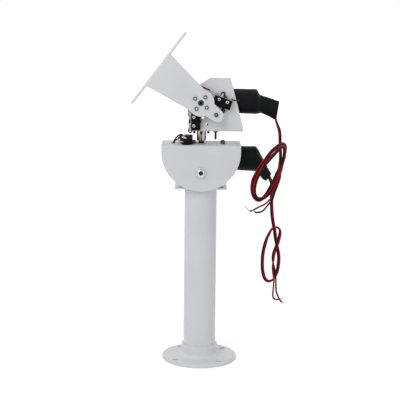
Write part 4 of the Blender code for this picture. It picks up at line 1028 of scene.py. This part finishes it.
def make_diode(name, place, body):
    """A small diode soldered across the outer terminals."""
    start, end = DIODE_BODIES[name]
    radius = 0.00085
    tapered = radius * 0.8
    edge = 0.0003
    rings = [
        (0.0, end), (tapered, end), (radius, end - edge), (radius, end - 0.0006, "band"),
        (radius, end - 0.0011, "band"), (radius, start + edge), (tapered, start), (0.0, start),
    ]
    lying = shift((0, DIODE_LINE, SWITCH_MIDDLE + 0.0009)) @ spin(pi / 2, "Y")
    bm = bmesh.new()
    add_rings(bm, rings, 20, lying)
    for cap, (x, reach) in ((start, TERMINALS[0]), (end, TERMINALS[2])):
        solder = Vector((x, SWITCH_HALF[1] + reach - 0.0008, SWITCH_MIDDLE + 0.0006))
        inside = lying @ Vector((0, 0, cap))
        bend = Vector((x + (cap - x) * 0.35, inside.y, inside.z))
        lead = smooth_route([inside, inside.lerp(bend, 0.5), bend, solder], 0.0005)
        add_tube(bm, lead, carried_sides(lead, Vector((0, 0, 1))), 0.0003, 0.0, 1, 8)
    to_piece(f"{name}_diode", bm, [switch_plastic, solder_tin], body, place)


def switch_frames():
    along_y = spin(pi / 2, "Z")
    frames = {}
    for name, side in (("pan_front", -1), ("pan_rear", 1)):
        seat = shift((-0.0167, side * 0.0131, HOUSING_TOP + GAP))
        turn = spin(radians(-12.0 * side), "Z")
        frames[name] = (seat @ turn @ along_y, side * 0.0009, "base")
    for name, x, z, turn, offset in (
        ("tilt_upper", 0.0224, 0.0, -19.8, -0.0008),
        ("tilt_lower", -0.0061, -0.0204, 90.0, -0.0003),
    ):
        seat = shift((x, BRACKET_FRONT - GAP, TILT_Z + z)) @ facing_front
        frames[name] = (seat @ spin(radians(turn), "Z"), offset, "pan_head")
    return frames


def terminal_end(place, number):
    x, reach = TERMINALS[number]
    return place @ Vector((x, SWITCH_HALF[1] + reach - 0.0004, SWITCH_MIDDLE + 0.0008))


# The switches' wires: the terminal where one starts at it, and points in tenths of a millimetre.
WIRES = (
    (
        "upper_switch_wire_end", 0.0004, solder_tin, "pan_head", "steel", ("tilt_upper", 0),
        (135, -282, 3057), (116, -279, 3063), (89, -277, 3076),
    ),
    (
        "upper_switch_wire_long", WIRE_RADIUS, dark_red_vinyl, "pan_head", "red_vinyl", None,
        (92, -277, 3075), (50, -275, 3092), (13, -270, 3106), (-40, -262, 3126), (-78, -232, 3162),
        (-75, -195, 3152), (-35, -165, 3122), (40, -130, 3112), (160, -105, 3112), (260, -95, 3112),
        (318, -93, 3102), (345, -93, 3086),
    ),
    (
        "upper_switch_wire_short", WIRE_RADIUS, dark_red_vinyl, "pan_head", "red_vinyl", ("tilt_upper", 2),
        (335, -276, 2972), (365, -262, 2968), (390, -242, 2965), (412, -212, 2961), (418, -196, 2960),
    ),
    (
        "lower_switch_wire", WIRE_RADIUS, dark_red_vinyl, "pan_head", "red_vinyl", ("tilt_lower", 0),
        (-139, -292, 2643), (-136, -297, 2628), (-121, -297, 2615), (-106, -290, 2624),
        (-103, -280, 2642), (-102, -274, 2656),
    ),
    (
        "pan_rear_wire", 0.0009, red_vinyl, "base", "red_vinyl", ("pan_rear", 0),
        (-223, 38, 2548), (-210, 16, 2557), (-214, -10, 2563), (-234, -27, 2563), (-252, -34, 2557),
        (-267, -41, 2545), (-280, -47, 2530), (-293, -52, 2510), (-306, -55, 2484), (-316, -55, 2458),
        (-310, -48, 2380), (-275, -30, 2325), (-215, -10, 2302), (-148, 0, 2298),
    ),
    (
        "pan_front_wire", WIRE_RADIUS, black_vinyl, "base", "black_vinyl", ("pan_front", 2),
        (-270, -71, 2515.5), (-282, -72, 2511), (-294, -71, 2499), (-299, -69, 2482), (-300, -66, 2450),
        (-298, -58, 2384), (-265, -40, 2342), (-210, 20, 2324), (-148, 30, 2318),
    ),
)


def make_switches():
    frames = switch_frames()
    for name, (place, offset, body) in frames.items():
        make_switch(name, place, offset, body)
        if name in DIODE_BODIES:
            make_diode(name, place, body)
    for name, radius, material, body, slot, terminal, *points in WIRES:
        points = in_metres(points)
        if terminal:
            switch, number = terminal
            points.insert(0, terminal_end(frames[switch][0], number))
        route = smooth_route(points, WIRE_STEP)
        wire = make_wire(name, route, radius, material, body)


# Floor, light and background.
def background_rays(tree):
    """One for the rays that see the background, directly or in a reflection."""
    path = tree.nodes.new("ShaderNodeLightPath")
    seen = add_math(tree, "MAXIMUM", path.outputs["Is Camera Ray"], path.outputs["Is Glossy Ray"])
    return add_math(tree, "MAXIMUM", seen, path.outputs["Is Transmission Ray"])


def make_floor():
    bm = bmesh.new()
    bmesh.ops.create_grid(bm, x_segments=1, y_segments=1, size=30.0)
    mesh = to_mesh("floor", bm)
    floor = add_object("floor", mesh)
    floor.location.z = -0.0002
    material = bpy.data.materials.new("floor_white")
    material.use_nodes = True
    tree = material.node_tree
    shader = tree.nodes["Principled BSDF"]
    set_values(shader, Base_Color=(0.85, 0.85, 0.85, 1.0), Roughness=0.9, Specular_IOR_Level=0.0)
    set_values(shader, Emission_Color=(1.0, 1.0, 1.0, 1.0))
    distance = tree.nodes.new("ShaderNodeVectorMath")
    distance.operation = "LENGTH"
    tree.links.new(tree.nodes.new("ShaderNodeTexCoord").outputs["Object"], distance.inputs[0])
    lift = add_range(tree, distance.outputs["Value"], 0.3, 3.0, 0.42, 0.75)
    glow = add_math(tree, "MULTIPLY", background_rays(tree), lift)
    tree.links.new(glow, shader.inputs["Emission Strength"])
    mesh.materials.append(material)


def make_world():
    world = bpy.data.worlds.new("studio")
    scene.world = world
    world.use_nodes = True
    tree = world.node_tree
    backdrop = tree.nodes["Background"]
    strength = add_range(tree, background_rays(tree), 0.0, 1.0, 0.48, 1.0)
    tree.links.new(strength, backdrop.inputs["Strength"])
    set_values(backdrop, Color=(1.0, 1.0, 1.0, 1.0))


def make_lamps():
    target = Vector((0.0, 0.0, 0.2))
    for name, location, size, power in (
        ("key", (-0.9, -1.5, 1.5), 1.2, 13.0),
        ("fill", (1.3, -1.2, 0.8), 1.2, 2.9),
        ("top", (0.0, 0.2, 1.9), 1.0, 3.8),
        ("left", (-1.7, 0.7, 0.9), 1.0, 2.5),
        ("right", (1.7, 0.7, 0.9), 1.0, 1.2),
    ):
        lamp = bpy.data.lights.new(name, "AREA")
        lamp.size = size
        lamp.energy = power
        light = add_object(name, lamp)
        light.location = location
        light.rotation_euler = (target - Vector(location)).to_track_quat("-Z", "Y").to_euler()


make_camera()
make_cords()
make_flange()
make_pole()
make_sheet_metal()
make_gearboxes()
make_sleeve("pan", PAN_TAIL, Vector((0, 0, PAN_FACE_Z - MOTOR_DEPTH)), 0.001, "base")
make_sleeve("tilt", TILT_TAIL, Vector((TILT_X, TILT_FACE_Y + MOTOR_DEPTH, TILT_Z)), 0.0004, "pan_head")
make_hub("pan", pan_hub_frame, PAN_HUB_LENGTH, "pan_head")
make_hub("tilt", tilt_hub_frame, TILT_HUB_LENGTH, "tilt_arm")
make_hub_screws("pan", pan_hub_frame, SHEET, GAP, [dark_steel_and_socket_shade, dark_steel_and_socket_shade], "pan_head")
make_hub_screws(
    "tilt", tilt_hub_frame, ARM_SHEET, ARM_SHEET + 2 * GAP, [olive_steel, plated_steel], "tilt_arm"
)
make_shaft_tip()
make_gearbox_screws()
make_stop_screws()
make_bolts()
make_switches()
make_floor()
make_world()
make_lamps()
scene.view_settings.view_transform = "Standard"
